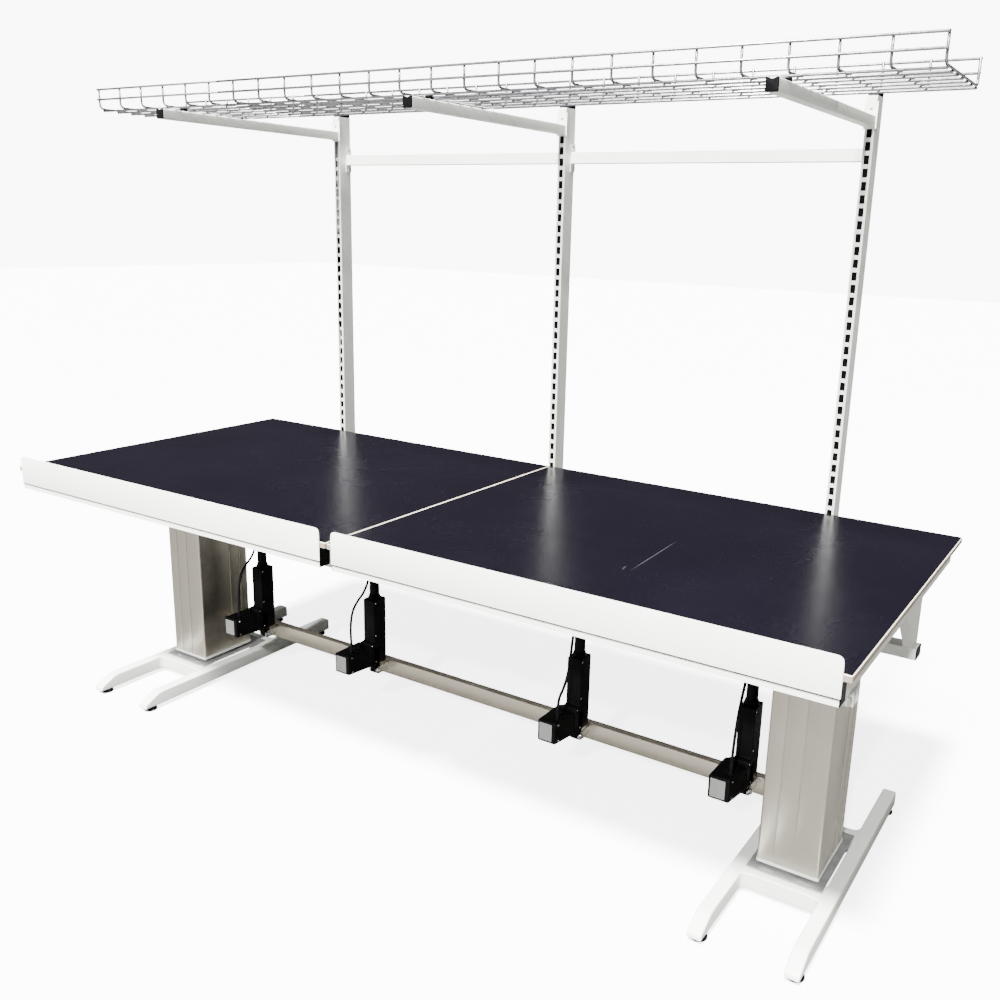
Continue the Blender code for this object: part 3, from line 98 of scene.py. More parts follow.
# Angles in degrees past which an edge is shaded as a sharp one
SHARP_ANGLE = 38
NUT_SHARP_ANGLE = 25
WIRE_SHARP_ANGLE = 50

# Edges and corners that many pieces share
FINE_EDGE = 0.001
SHEET_EDGE = 0.0006
CAP_CORNER = 0.003

# Cut ends of wires: length of the taper in diameters, and what it leaves of the radius
TAPER_LENGTH = 0.2
TAPER_RADIUS = 0.6

# Screws: angles of the domed head in degrees, (diameter, height) of each kind, and places on rails and arms
SCREW_DOME = (-20, 0, 25, 50, 72)
HOUSING_SCREW = (0.006, 0.0022)
RAIL_SCREW = (0.011, 0.0035)
ARM_SCREW = (0.010, 0.003)
RAIL_FLANGE = 0.003
RAIL_SCREW_INSET = 0.013
ARM_SCREW_DROP = 0.032

# Boards, and the scratches in their film: (middle, length, turn in degrees)
BOARD_CORNER = 0.004
BOARD_SCRATCHES = (
    ((0.8075, -0.170), 0.340, 91.9), ((0.788, -0.318), 0.036, 98.0), ((-0.610, 0.140), 0.090, 62.0))
SCRATCH_HEIGHT = 0.936
SCRATCH_WIDTH = 0.0030
SCRATCH_COLOUR = (0.060, 0.056, 0.058)

# Colour of the white spots on the zinc wires
ZINC_BLOOM = (0.70, 0.70, 0.68)

# Front lips: how far each stands above its CAD node, its sheet, and the dark bead of painted shadow under it
LIP_CREST = 0.003
LIP_FOOT_CORNER = 0.002
LIP_EDGE = 0.0008
LIP_SHADOW_BEAD = 0.003
SHADOW_BEAD_SETBACK = 0.0006

# Base frames; a runner's corner radii go from its nose's foot over the top to its rear foot
RUNNER_WIDTH = 0.042
RUNNER_CORNERS = (0.004, 0.010, 0.022, 0.012, 0.004)
NOSE_LENGTH = 0.064
NOSE_EDGE = 0.016
BASE_BAR_WIDTH = 0.060
BASE_BAR_REACH = (0.052, 0.103)
BASE_FILLET = 0.026

# Levelling feet: (step from the pad's radius, rise from the floor), and of the neck (step from half that
# radius, rise from the runner)
PAD_RIM = ((-0.002, 0.0), (-0.0006, 0.0006), (0.0, 0.002), (0.0, 0.006), (-0.001, 0.0078), (-0.004, 0.0092))
PAD_NECK = ((0.0, -0.001), (-0.0006, -0.0003))

# Column sleeves: (width, depth) of their grooves and slots, and the rim round their foot
SLEEVE_WALL = 0.004
GROOVE_PLACES = (0.050, 0.106)
GROOVE = (0.003, 0.0015)
GROOVE_CORNER = 0.0004
SIDE_SLOT_SETBACKS = (0.144, 0.197)
SIDE_SLOT = (0.010, 0.0022)
RIM_OVERHANG = 0.0015
RIM_INSET = 0.0004
RIM_DROP = 0.0005

# Stretcher and its forks: (radius, reach) of the pins, (radius, distance from the fork) of washers and nuts
STRETCHER_DEPTH = 0.030
FORK_FACES = (0.013, 0.018)
FORK_RADIUS = 0.014
PIVOT_PIN = (0.006, 0.024)
WASHER = ((0.0095, 0.0), (0.0098, 0.0004), (0.0095, 0.0014))
NUT = ((0.0072, 0.0014), (0.0080, 0.0022), (0.0080, 0.0070), (0.0070, 0.0082))

# Drives: rises are counted from the pivot, and the body's, neck's and motor's reaches too
BODY_HALF_WIDTH = 0.026
BODY_HALF_DEPTH = 0.033
BODY_FOOT_RISE = 0.034
BODY_TOP_RISE = 0.290
EYE_RADIUS = 0.014
EYE_WIDTH = 0.024
MOTOR_HALF = 0.034
MOTOR_SHIFT = -0.025
MOTOR_REACH = 0.156
MOTOR_LENGTH = 0.124
MOTOR_RISE = (0.031, 0.109)
MOTOR_CORNER = 0.006
MOTOR_EDGE = 0.008
MOTOR_FLARE = 0.002
NECK_REACH = 0.055
NECK_TOP_RISE = 0.125
ROD_RADIUS = 0.011
ROD_PIN_RADIUS = 0.006

# Turned parts of the drives: (radius, rise) from the body's top, the tube's mouth and the motor's top
SHOULDER = ((0.0240, -0.002), (0.0240, 0.002), (0.0228, 0.006), (0.0204, 0.014), (0.0194, 0.016))
OUTER_TUBE_RADIUS = 0.018
TUBE_MOUTH = ((0.0180, -0.010), (0.0192, -0.009), (0.0192, -0.0015), (0.0177, 0.0), (0.0125, 0.0),
              (0.0122, -0.002))
GLAND = ((0.0075, -0.002), (0.0075, 0.003), (0.0058, 0.0045), (0.0052, 0.0098), (0.0038, 0.0100))
GLAND_SETBACK = 0.130

# Cable clip, bare label and screws of the drives; the screws are at (y, z) places about the pivot
CLIP_SIZE = (0.016, 0.012, 0.020)
CLIP_SINK = 0.003
CLIP_DROP = 0.010
LABEL_SIDES = (-0.0265, 0.0205)
LABEL_MARGIN = 0.009
LABEL_CORNER = 0.002
LABEL_HALF = 0.0005
LABEL_EDGE = 0.0002
BODY_SCREWS = ((-0.024, 0.279), (-0.024, 0.150), (-0.024, 0.046), (-0.0465, 0.116))
MOTOR_SCREWS = ((-0.140, 0.098), (-0.138, 0.042))

# Motor cables from their glands to their clips, from the left to the right: (y, z) points of each route
CABLE_DIAMETER = 0.009
CABLE_START = [(-0.08655, 0.2903), (-0.08655, 0.3200)]
CABLE_ROUTES = (
    [(-0.08485, 0.370), (-0.07885, 0.420), (-0.06685, 0.460), (-0.04285, 0.490), (-0.01285, 0.515),
     (0.00915, 0.550), (0.01715, 0.600), (0.01865, 0.650)],
    [(-0.08885, 0.370), (-0.08485, 0.415), (-0.07285, 0.450), (-0.04885, 0.476), (-0.01685, 0.500),
     (0.00715, 0.535), (0.01715, 0.585), (0.01865, 0.645)],
    [(-0.07885, 0.355), (-0.05485, 0.380), (-0.03285, 0.415), (-0.01885, 0.460), (-0.01085, 0.510),
     (-0.00085, 0.560), (0.01115, 0.610), (0.01765, 0.655)],
    [(-0.08385, 0.365), (-0.07685, 0.415), (-0.06385, 0.470), (-0.04485, 0.521), (-0.02285, 0.565),
     (-0.00085, 0.605), (0.01315, 0.640), (0.01865, 0.670)],
)
CABLE_END = [(0.01945, 0.7007), (0.01945, 0.7304)]

# Tray arms: hook plate with its narrower (step, height) tongue, and the gusset's (length, drop)
ARM_HALF = 0.0165
ARM_EDGE = 0.0045
ARM_PLATE = 0.003
ARM_PLATE_RISE = 0.052
ARM_PLATE_TONGUE = (0.005, 0.012)
ARM_PLATE_CORNER = 0.0015
ARM_GUSSET = (0.014, 0.005)

# Wire tray: how it stands off its CAD node, its wires, and the saddles under it
TRAY_OVERHANG = 0.009
TRAY_LIFT = 0.0035
TRAY_RISE = 0.006
WIRE_END = 0.001
WIRE_NEST = 0.9
CROSS_WIRES = 26
FLOOR_WIRES = 7
FLOOR_WIRE_MARGIN = 0.022
MID_WIRE_HEIGHT = 0.037
SADDLE_SETBACK = 0.075
SADDLE_HALF = (0.010, 0.009)
SADDLE_SINK = 0.0006
SADDLE_RISE = 0.0085
SADDLE_EDGE = 0.0015

# Caps: (half width, depth) of the hollow in an arm's cap and the radii of the cap's corners from its lower
# left round, height of the side frames' capped arms, and dark strips of painted shade inside the uprights
ARM_CAP_HOLLOW = (0.010, 0.0055)
ARM_CAP_CORNERS = (0.004, 0.004, 0.002, 0.004, 0.007, 0.004, 0.002)
ARM_CAP_EDGE = 0.0012
SIDE_ARM_HEIGHT = 0.060
SHADE_STRIP_INSET = 0.003
SHADE_STRIP_DEPTHS = (0.0045, 0.0065)
SHADE_STRIP_CORNER = 0.0005
SHADE_STRIP_FOOT = 0.010

# CAD pieces that stay: distance of the weld, and the angles of flat faces and of edges to soften, in degrees
WELD_DISTANCE = 0.00001
FLAT_ANGLE = 1.0
EDGE_ANGLE = 50.0
EDGE_SEGMENTS = 2
KEPT_NODES = {
    "enamel": [f"{stem}_{side}" for stem in ("top_frame", "side_frame", "rail") for side in SIDES]
    + [f"upright_{name}" for name in UPRIGHTS] + ["hinge_carrier", "rear_beam"],
    "flange": [f"column_inner_{side}" for side in SIDES],
    "plastic": [f"tube_cap_{side}_{end}" for side in SIDES for end in ("inner", "outer")],
    "steel": [f"lift_jack_{part}_{side}" for part in ("barrel", "rod") for side in SIDES],
}

Shell = namedtuple("Shell", "points quads caps")


def length_value(name, description, default):
    """A length that a user may change."""
    return FloatProperty(name=name, description=description, default=default, unit="LENGTH")


def colour_value(name, description, default):
    """A colour that a user may change."""
    return FloatVectorProperty(name=name, description=description, default=default, subtype="COLOR", size=3)


def angle_value(name, description, degrees):
    """An angle that a user may change."""
    return FloatProperty(name=name, description=description, default=math.radians(degrees), subtype="ANGLE")


def light_value(name, description, default):
    """A strength of light that a user may change."""
    return FloatProperty(name=name, description=description, default=default, min=0.0)


class TableSizes(bpy.types.PropertyGroup):
    """Sizes of the finished edges and small parts."""

    board_chamfer: length_value("Board chamfer", "Chamfer along the boards' edges", 0.0022)
    lip_corner: length_value("Lip corner", "Radius of the lips' upper corners", 0.018)
    runner_edge: length_value("Runner edge", "Rounding along the base runners", 0.005)
    sleeve_corner: length_value("Sleeve corner", "Radius of the column sleeves' corners", 0.007)
    rim_height: length_value("Rim height", "Height of the white rim at a sleeve's foot", 0.009)
    housing_edge: length_value("Housing edge", "Rounding of the drives' housings", 0.005)
    wire_diameter: length_value("Wire diameter", "Thickness of the tray's wires", 0.007)
    wire_bend: length_value("Wire bend", "Bend of the tray's cross wires", 0.018)
    cap_thickness: length_value("Cap thickness", "Thickness of the plastic end caps", 0.003)
    top_cap_height: length_value("Top cap height", "Height of the uprights' top caps", 0.012)
    tube_edge: length_value("Tube edge", "Rounding of the steel tubes' edges", 0.0015)


class TableColours(bpy.types.PropertyGroup):
    """Colours of the finishes."""

    board_film: colour_value("Board film", "Film on the boards", (0.0026, 0.0020, 0.0043))
    plywood: colour_value("Plywood", "Bare edge of the boards", (0.26, 0.21, 0.165))
    veneer: colour_value("Veneer", "Chamfered face veneer of the boards", (0.66, 0.60, 0.48))
    enamel: colour_value("White enamel", "Baked enamel on the steel frames", (0.83, 0.84, 0.79))
    aluminium: colour_value("Aluminium", "Anodised column profiles", (0.46, 0.435, 0.375))
    stretcher: colour_value("Stretcher", "Speckled enamel on the stretcher", (0.59, 0.54, 0.45))
    black_plastic: colour_value("Black plastic", "Drives, caps and rubber", (0.0022, 0.0022, 0.0024))
    flange: colour_value("Flange steel", "Columns' inner profiles and foot flanges", (0.34, 0.34, 0.34))
    steel: colour_value("Bright steel", "Rods, nuts and screws", (0.62, 0.62, 0.61))
    zinc: colour_value("Zinc wire", "Wires of the cable tray", (0.33, 0.33, 0.35))
    label: colour_value("Bare label", "Blank foil on the motors", (0.30, 0.30, 0.29))


class StageLight(bpy.types.PropertyGroup):
    """Light and floor of the studio."""

    key: light_value("Key", "Light from the upper front", 30.0)
    key_spread: angle_value("Key spread", "Angle that the key light fills", 7.0)
    key_height: angle_value("Key height", "Angle of the key light above the floor", 60.0)
    key_side: angle_value("Key side", "Turn of the key light from the front to the right", 0.5)
    front: light_value("Front", "Light from the lower front", 6.0)
    front_spread: angle_value("Front spread", "Angle that the front light fills", 2.0)
    front_height: angle_value("Front height", "Angle of the front light above the floor", 34.0)
    front_side: angle_value("Front side", "Turn of the front light from the front to the right", 10.0)
    fill: FloatProperty(name="Fill", description="Large light at the front left", default=100.0, unit="POWER")
    ceiling: light_value("Ceiling", "Light from above", 0.45)
    walls: light_value("Walls", "Light from the sides", 0.06)
    backdrop: light_value("Backdrop", "Brightness of the pale room", 9.5)
    floor_glow: light_value("Floor glow", "Light in the floor itself", 4.5)
    floor: colour_value("Floor", "Colour of the floor", (0.90, 0.90, 0.90))
    floor_bounce: colour_value("Floor bounce", "Colour of the floor as it lights the table",
                               (0.09, 0.087, 0.082))


def unit(vectors):
    """Each vector over its own length."""
    return vectors / np.linalg.norm(vectors, axis=-1, keepdims=True)


def middle_of(ends):
    """Half way between two ends."""
    return (ends[0] + ends[1]) / 2


def about(middle, half):
    """Two ends that lie a half length either side of a middle."""
    return middle - half, middle + half


def span(node):
    """The lowest and highest value of a CAD node on each axis."""
    low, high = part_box(node)
    return [(float(a), float(b)) for a, b in zip(low, high)]


def rounding(start, corner, end, steps):
    """A parabola at each corner, in steps of a share s from 0 to 1.

    It is (1-s)^2 of the corner's start, 2s(1-s) of the corner itself and s^2 of its end.
    """
    share = np.linspace(0, 1, steps + 1)[None, :, None]
    blend = (1 - share) ** 2 * start[:, None] + 2 * share * (1 - share) * corner[:, None]
    return (blend + share ** 2 * end[:, None]).reshape(-1, corner.shape[-1])


def soft_outline(corners, radii, steps=4):
    """A closed outline, with each corner rounded from one radius before it to one radius after it."""
    corners = np.asarray(corners, float)
    reach = np.broadcast_to(np.asarray(radii, float), len(corners))[:, None]
    start = corners + reach * unit(np.roll(corners, 1, axis=0) - corners)
    end = corners + reach * unit(np.roll(corners, -1, axis=0) - corners)
    return rounding(start, corners, end, steps)


def soft_path(corners, radius, steps=6):
    """An open path, with each inner corner rounded from one radius before it to one radius after it."""
    corners = np.asarray(corners, float)
    inner = corners[1:-1]
    start = inner + radius * unit(corners[:-2] - inner)
    end = inner + radius * unit(corners[2:] - inner)
    return np.concatenate([corners[:1], rounding(start, inner, end, steps), corners[-1:]])


def rectangle(u_ends, v_ends, radius, steps=4):
    """A rounded rectangle between two values on each axis."""
    (u0, u1), (v0, v1) = u_ends, v_ends
    return soft_outline([(u0, v0), (u1, v0), (u1, v1), (u0, v1)], radius, steps)


def half_round(y, z, radius, first, last, steps=12):
    """Points on a circle about (y, z), from the first to the last angle in degrees."""
    angle = np.radians(np.linspace(first, last, steps + 1))
    return np.stack([y + radius * np.cos(angle), z + radius * np.sin(angle)], axis=1)


def notched(start, end, middles, width, depth):
    """Corners of one edge of an outline, from start up to end, with a notch to its left about each middle."""
    start, end = np.asarray(start, float), np.asarray(end, float)
    along = unit(end - start)
    left = np.array([-along[1], along[0]])
    corners = [start]
    for middle in middles:
        first, last = about(middle, width / 2)
        corners += [start + along * first, start + along * first + left * depth,
                    start + along * last + left * depth, start + along * last]
    return corners


def smooth_curve(points, steps=4):
    """A cubic between each two points, whose slope at a point is half the chord between its neighbours."""
    points = np.asarray(points, float)
    padded = np.concatenate([2 * points[:1] - points[1:2], points, 2 * points[-1:] - points[-2:-1]])
    before, start, end, after = padded[:-3], padded[1:-2], padded[2:-1], padded[3:]
    share = np.linspace(0, 1, steps, endpoint=False)[None, :, None]
    slope, bend = end - before, 2 * before - 5 * start + 4 * end - after
    turn = 3 * start - before - 3 * end + after
    curve = 0.5 * (2 * start[:, None] + slope[:, None] * share + bend[:, None] * share ** 2
                   + turn[:, None] * share ** 3)
    return np.concatenate([curve.reshape(-1, points.shape[1]), points[-1:]])


def inward(outline):
    """How each corner slides when an outline is drawn in by one metre.

    It is the sum of the corner's two inward normals, over one plus their dot product.
    """
    ahead = unit(np.roll(outline, -1, axis=0) - outline)
    normal = np.stack([-ahead[:, 1], ahead[:, 0]], axis=1)
    before = np.roll(normal, 1, axis=0)
    return (before + normal) / (1 + (before * normal).sum(axis=1, keepdims=True))


def end_rounds(ends, edge, steps):
    """How far the rings of a bar with rounded ends are drawn in, and where they lie along it.

    The rounding is a quarter circle: drawn in by edge times one less the sine of an angle, and set back from
    the end by edge times one less its cosine, as the angle goes from 0 to 90 degrees.
    """
    angle = np.linspace(0, np.pi / 2, steps + 1) if edge else np.full(1, np.pi / 2)
    drawn, back = edge * (1 - np.sin(angle)), edge * (1 - np.cos(angle))
    places = np.concatenate([min(ends) + back, max(ends) - back[::-1]])
    return np.concatenate([drawn, drawn[::-1]]), places


def placed(axis, u, v, w):
    """Points from values across and along an axis: across x are (y, z), across y (x, z), across z (x, y)."""
    order = {"x": (w, u, v), "y": (u, w, v), "z": (u, v, w)}[axis]
    return np.stack(np.broadcast_arrays(*order), axis=-1)


def skin(rings, joined=False):
    """Joins an array of equal rings (station, point, xyz) with quads, and closes it.

    The last ring is joined to the first one, or both get an end face. The volume under all faces, a sum of
    triple products, is negative when they point inwards, and then every face is turned round.
    """
    stations, size = rings.shape[:2]
    points = rings.reshape(-1, 3)
    station = np.arange(stations if joined else stations - 1)[:, None]
    point = np.arange(size)[None, :]
    ahead, beside = (station + 1) % stations, (point + 1) % size
    quads = np.stack([station * size + point, station * size + beside, ahead * size + beside,
                      ahead * size + point], axis=-1).reshape(-1, 4)
    caps = [] if joined else [np.arange(size)[::-1], np.arange((stations - 1) * size, stations * size)]
    fans = [quads[:, :3], quads[:, [0, 2, 3]]]
    fans += [np.stack([np.full(size - 2, cap[0]), cap[1:-1], cap[2:]], axis=1) for cap in caps]
    a, b, c = np.moveaxis(points[np.concatenate(fans)], 1, 0)
    if np.einsum("ij,ij->", a, np.cross(b, c)) < 0:
        quads, caps = quads[:, ::-1], [cap[::-1] for cap in caps]
    return Shell(points, quads, caps)


def bar(outline, axis, ends, edge=0.0, steps=3):
    """An outline carried along an axis between two ends, and drawn in where the end edges are rounded.

    The sum of its corners' cross products is negative when it runs clockwise, and then it is turned round.
    """
    outline = np.asarray(outline, float)
    signed_area = (outline * np.roll(outline[:, ::-1], -1, axis=0) * (1, -1)).sum()
    outline = outline if signed_area > 0 else outline[::-1]
    drawn, places = end_rounds(ends, edge, steps)
    across = outline + drawn[:, None, None] * inward(outline)
    return skin(placed(axis, across[..., 0], across[..., 1], places[:, None]))


def turned(profile, axis, middle, sides, base=0.0, way=1):
    """A profile turned about the axis at middle: its radius times the cosine and sine of an angle round it.

    Its points are (radius, distance from a base one way along the axis).
    """
    radius, along = np.asarray(profile, float).T[:, :, None]
    angle = np.linspace(0, 2 * np.pi, sides, endpoint=False)
    u, v = middle[0] + radius * np.cos(angle), middle[1] + radius * np.sin(angle)
    return skin(placed(axis, u, v, base + way * along))


def round_bar(radius, axis, middle, ends, sides):
    """A round bar between two ends, which are chamfered by a fine edge."""
    (low, high), thin = ends, radius - FINE_EDGE
    profile = [(thin, low), (radius, low + FINE_EDGE), (radius, high - FINE_EDGE), (thin, high)]
    return turned(profile, axis, middle, sides)


def screw_head(axis, middle, face, outward, size):
    """A domed screw head: its radius is the cosine of an angle and its height the sine of the same angle."""
    diameter, height = size
    angle = np.radians(SCREW_DOME)
    dome = np.stack([diameter / 2 * np.cos(angle), height * np.sin(angle)], axis=1)
    return turned(dome, axis, middle, 12, face, outward)


def pipe(outer, inner, axis, ends):
    """A hollow length of tube: the outer outline along the axis, and back inside along the inner one."""
    across = np.stack([outer, outer, inner, inner])
    low, high = min(ends), max(ends)
    places = np.array([low, high, high, low])[:, None]
    return skin(placed(axis, across[..., 0], across[..., 1], places), joined=True)


def wire(path, normal, diameter, sides=10):
    """A circle carried along a flat path: cosine along its normal and sine across it, with tapered ends."""
    path = np.asarray(path, float)
    along = unit(np.gradient(path, axis=0))
    step = TAPER_LENGTH * diameter * along
    spine = np.concatenate([path[:1], path[:1] + step[:1], path[1:-1], path[-1:] - step[-1:], path[-1:]])
    along = np.concatenate([along[:1], along, along[-1:]])
    radius = np.full(len(spine), diameter / 2)
    radius[[0, -1]] *= TAPER_RADIUS
    side = np.broadcast_to(np.asarray(normal, float), spine.shape)
    over = np.cross(along, side)
    angle = np.linspace(0, 2 * np.pi, sides, endpoint=False)[None, :, None]
    circle = np.cos(angle) * side[:, None] + np.sin(angle) * over[:, None]
    return skin(spine[:, None] + radius[:, None, None] * circle)


def make_piece(name, body, parts, nodes=(), sharp=SHARP_ANGLE):
    """Puts closed shells into one object.

    Each part is a shell and its finishes. The last finish is for the end faces, and the others, or that one
    if it is alone, share the shell's quads in even bands from its first ring to its last.
    """
    points, faces, kinds, finishes, count = [], [], [], [], 0
    for shell, *names in parts:
        finishes += [finish for finish in dict.fromkeys(names) if finish not in finishes]
        faces += (shell.quads + count).tolist() + [(cap + count).tolist() for cap in shell.caps]
        bands = names[:-1] or names
        kinds += np.repeat([finishes.index(band) for band in bands], len(shell.quads) // len(bands)).tolist()
        kinds += [finishes.index(names[-1])] * len(shell.caps)
        points.append(shell.points)
        count += len(shell.points)
    if not faces:
        raise RuntimeError(f"{name} has no faces")
    mesh = bpy.data.meshes.new(name)
    mesh.from_pydata(np.concatenate(points).tolist(), [], faces)
    for finish in finishes:
        mesh.materials.append(material(finish))
    mesh.polygons.foreach_set("material_index", np.array(kinds, dtype=np.int32))
    mesh.shade_smooth()
    mesh.set_sharp_from_angle(angle=math.radians(sharp))
    piece = bpy.data.objects.new(name, mesh)
    bpy.context.scene.collection.objects.link(piece)
    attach(piece, body)
    if nodes:
        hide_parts(*nodes)
    return piece


class Finish:
    """A procedural material that is built up node by node on the piece's own coordinates."""

    def __init__(self, name, colour, roughness, metallic=0.0):
        self.material = bpy.data.materials.new(name)
        self.material.use_nodes = True
        self.nodes = self.material.node_tree.nodes
        self.shader = self.nodes["Principled BSDF"]
        self.place = self.nodes.new("ShaderNodeTexCoord").outputs["Object"]
        self.colour = tuple(colour)
        self.set("Base Color", (*colour, 1))
        self.set("Roughness", roughness)
        self.set("Metallic", metallic)

    def feed(self, socket, value):
        """Links a socket to another one, or sets it to a value."""
        if isinstance(value, bpy.types.NodeSocket):
            self.material.node_tree.links.new(value, socket)
        else:
            socket.default_value = value

    def set(self, socket, value):
        """Sets or links one of the shader's own sockets."""
        self.feed(self.shader.inputs[socket], value)

    def texture(self, kind, scale, place=None):
        """A texture node on the piece's coordinates or on given ones; scale is patches per metre."""
        node = self.nodes.new(kind)
        self.feed(node.inputs["Vector"], place or self.place)
        self.feed(node.inputs["Scale"], scale)
        return node

    def noise(self, scale, detail, place=None):
        """Soft random values from 0 to 1, with detail octaves."""
        node = self.texture("ShaderNodeTexNoise", scale, place)
        self.feed(node.inputs["Detail"], detail)
        return node.outputs["Fac"]

    def stretched(self, size, turn=0.0, middle=(0, 0, 0)):
        """Coordinates about a middle, turned about the upright axis and counted in lengths of size."""
        mapping = self.nodes.new("ShaderNodeMapping")
        mapping.vector_type = "TEXTURE"
        mapping.inputs["Location"].default_value = middle
        mapping.inputs["Rotation"].default_value = (0, 0, math.radians(turn))
        mapping.inputs["Scale"].default_value = size
        self.feed(mapping.inputs["Vector"], self.place)
        return mapping.outputs["Vector"]

    def streak(self, middle, length, width, turn):
        """A thin soft ellipse: 1 at its middle and 0 from its rim on."""
        ball = self.nodes.new("ShaderNodeTexGradient")
        ball.gradient_type = "SPHERICAL"
        self.feed(ball.inputs["Vector"], self.stretched((length / 2, width / 2, 1), turn, middle))
        return ball.outputs["Fac"]

    def ranged(self, value, reach, goal):
        """Carries the ends of reach to the ends of goal, with what lies outside held at the ends."""
        step = self.nodes.new("ShaderNodeMapRange")
        for socket, number in zip(("From Min", "From Max", "To Min", "To Max"), (*reach, *goal)):
            self.feed(step.inputs[socket], number)
        self.feed(step.inputs["Value"], value)
        return step.outputs["Result"]

    def mixed(self, share, first, second):
        """A colour between two others; each is a socket or three numbers."""
        mix = self.nodes.new("ShaderNodeMix")
        mix.data_type = "RGBA"
        self.feed(mix.inputs["Factor"], share)
        for socket, value in (("A_Color", first), ("B_Color", second)):
            spot = next(item for item in mix.inputs if item.identifier == socket)
            self.feed(spot, value if isinstance(value, bpy.types.NodeSocket) else (*value, 1))
        return next(item for item in mix.outputs if item.identifier == "Result_Color")

    def blend(self, pattern, reach, most, first, second):
        """From the first colour towards the second, up to the share most, as a pattern crosses its reach."""
        return self.mixed(self.ranged(pattern, reach, (0.0, most)), first, second)

    def shade(self, factor):
        """The finish's colour times a factor."""
        return tuple(factor * channel for channel in self.colour)

    def gloss(self, pattern, reach, roughness):
        """Roughness between two values, as a pattern crosses its reach."""
        self.set("Roughness", self.ranged(pattern, reach, roughness))

    def bump(self, height, distance, strength=1.0):
        """Raises the surface by up to distance where height is 1."""
        node = self.nodes.new("ShaderNodeBump")
        self.feed(node.inputs["Height"], height)
        self.feed(node.inputs["Distance"], distance)
        self.feed(node.inputs["Strength"], strength)
        self.set("Normal", node.outputs["Normal"])


def board_film(colours):
    """Dark phenolic film: cloudy tone, faint drag marks, a few bright scratches and a fine pressed grain."""
    film = Finish("board film", colours.board_film, 0.27)
    film.set("Specular IOR Level", 0.3)
    tone = film.blend(film.noise(1.7, 4.0), (0.35, 0.68), 1.0, film.shade(0.86), film.shade(1.2))
    drags = film.noise(1.0, 2.0, film.stretched((0.55, 0.045, 1), -6.0))
    tone = film.blend(drags, (0.60, 0.80), 0.2, tone, film.shade(0.6))
    tone = film.blend(film.noise(240.0, 2.0), (0.76, 0.84), 0.2, tone, film.shade(1.8))
    for middle, length, turn in BOARD_SCRATCHES:
        scratch = film.streak((*middle, SCRATCH_HEIGHT), length, SCRATCH_WIDTH, turn)
        tone = film.blend(scratch, (0.0, 0.35), 0.75, tone, SCRATCH_COLOUR)
    film.set("Base Color", tone)
    film.gloss(film.noise(5.0, 1.5), (0.3, 0.75), (0.25, 0.29))
    film.bump(film.noise(900.0, 2.0), 0.00004)
    return film.material


def plywood_edge(colours):
    """Bare board edges: thin plies through the thickness, with grain along them."""
    edge = Finish("plywood edge", colours.plywood, 0.65)
    plies = edge.texture("ShaderNodeTexWave", 110.0)
    plies.bands_direction = "Z"
    edge.feed(plies.inputs["Distortion"], 0.6)
    tone = edge.blend(plies.outputs["Fac"], (0.25, 0.75), 1.0, edge.shade(0.66), edge.shade(1.2))
    grain = edge.noise(1.0, 4.0, edge.stretched((0.07, 0.07, 0.0011)))
    edge.set("Base Color", edge.blend(grain, (0.45, 0.8), 0.5, tone, edge.shade(0.5)))
    edge.gloss(grain, (0.3, 0.8), (0.55, 0.75))
    edge.bump(grain, 0.0002, 0.6)
    return edge.material


def veneer_edge(colours):
    """Chamfered face veneer: cream wood with long grain and a few bruises."""
    veneer = Finish("veneer edge", colours.veneer, 0.55)
    grain = veneer.noise(1.0, 4.0, veneer.stretched((0.05, 0.05, 0.001)))
    tone = veneer.blend(grain, (0.35, 0.75), 1.0, veneer.shade(1.05), veneer.shade(0.8))
    bruises = veneer.noise(28.0, 4.0)
    veneer.set("Base Color", veneer.blend(bruises, (0.62, 0.75), 0.5, tone, veneer.shade(0.45)))
    veneer.gloss(grain, (0.3, 0.8), (0.48, 0.66))
    veneer.bump(grain, 0.0001, 0.5)
    return veneer.material


def white_enamel(colours):
    """Baked warm white enamel: faint cloudiness, orange peel and a little grime."""
    enamel = Finish("white enamel", colours.enamel, 0.36)
    tone = enamel.blend(enamel.noise(5.0, 4.0), (0.35, 0.7), 1.0, enamel.shade(0.975), enamel.shade(1.02))
    grime = enamel.noise(38.0, 6.0)
    enamel.set("Base Color", enamel.blend(grime, (0.62, 0.82), 0.10, tone, enamel.shade(0.72)))
    enamel.gloss(enamel.noise(60.0, 3.0), (0.3, 0.7), (0.31, 0.42))
    enamel.bump(enamel.noise(420.0, 2.0), 0.00006)
    return enamel.material


def anodised_aluminium(colours):
    """Anodised profile: fine upright drawing lines and a soft satin gloss."""
    metal = Finish("anodised aluminium", colours.aluminium, 0.34, 1.0)
    lines = metal.noise(1.0, 5.0, metal.stretched((0.0011, 0.0011, 0.33)))
    tone = metal.blend(metal.noise(4.0, 3.0), (0.3, 0.7), 1.0, metal.shade(0.95), metal.shade(1.04))
    metal.set("Base Color", metal.blend(lines, (0.3, 0.75), 0.5, tone, metal.shade(0.84)))
    metal.gloss(lines, (0.25, 0.75), (0.28, 0.40))
    metal.bump(lines, 0.00004)
    return metal.material


def stretcher_enamel(colours):
    """Beige metallic enamel with fine speckles."""
    coat = Finish("stretcher enamel", colours.stretcher, 0.34, 1.0)
    speckles = coat.noise(700.0, 3.0)
    coat.set("Base Color", coat.blend(speckles, (0.4, 0.65), 1.0, coat.shade(0.88), coat.shade(1.1)))
    coat.gloss(coat.noise(90.0, 3.0), (0.3, 0.7), (0.28, 0.40))
    coat.bump(coat.noise(260.0, 2.0), 0.00008)
    return coat.material


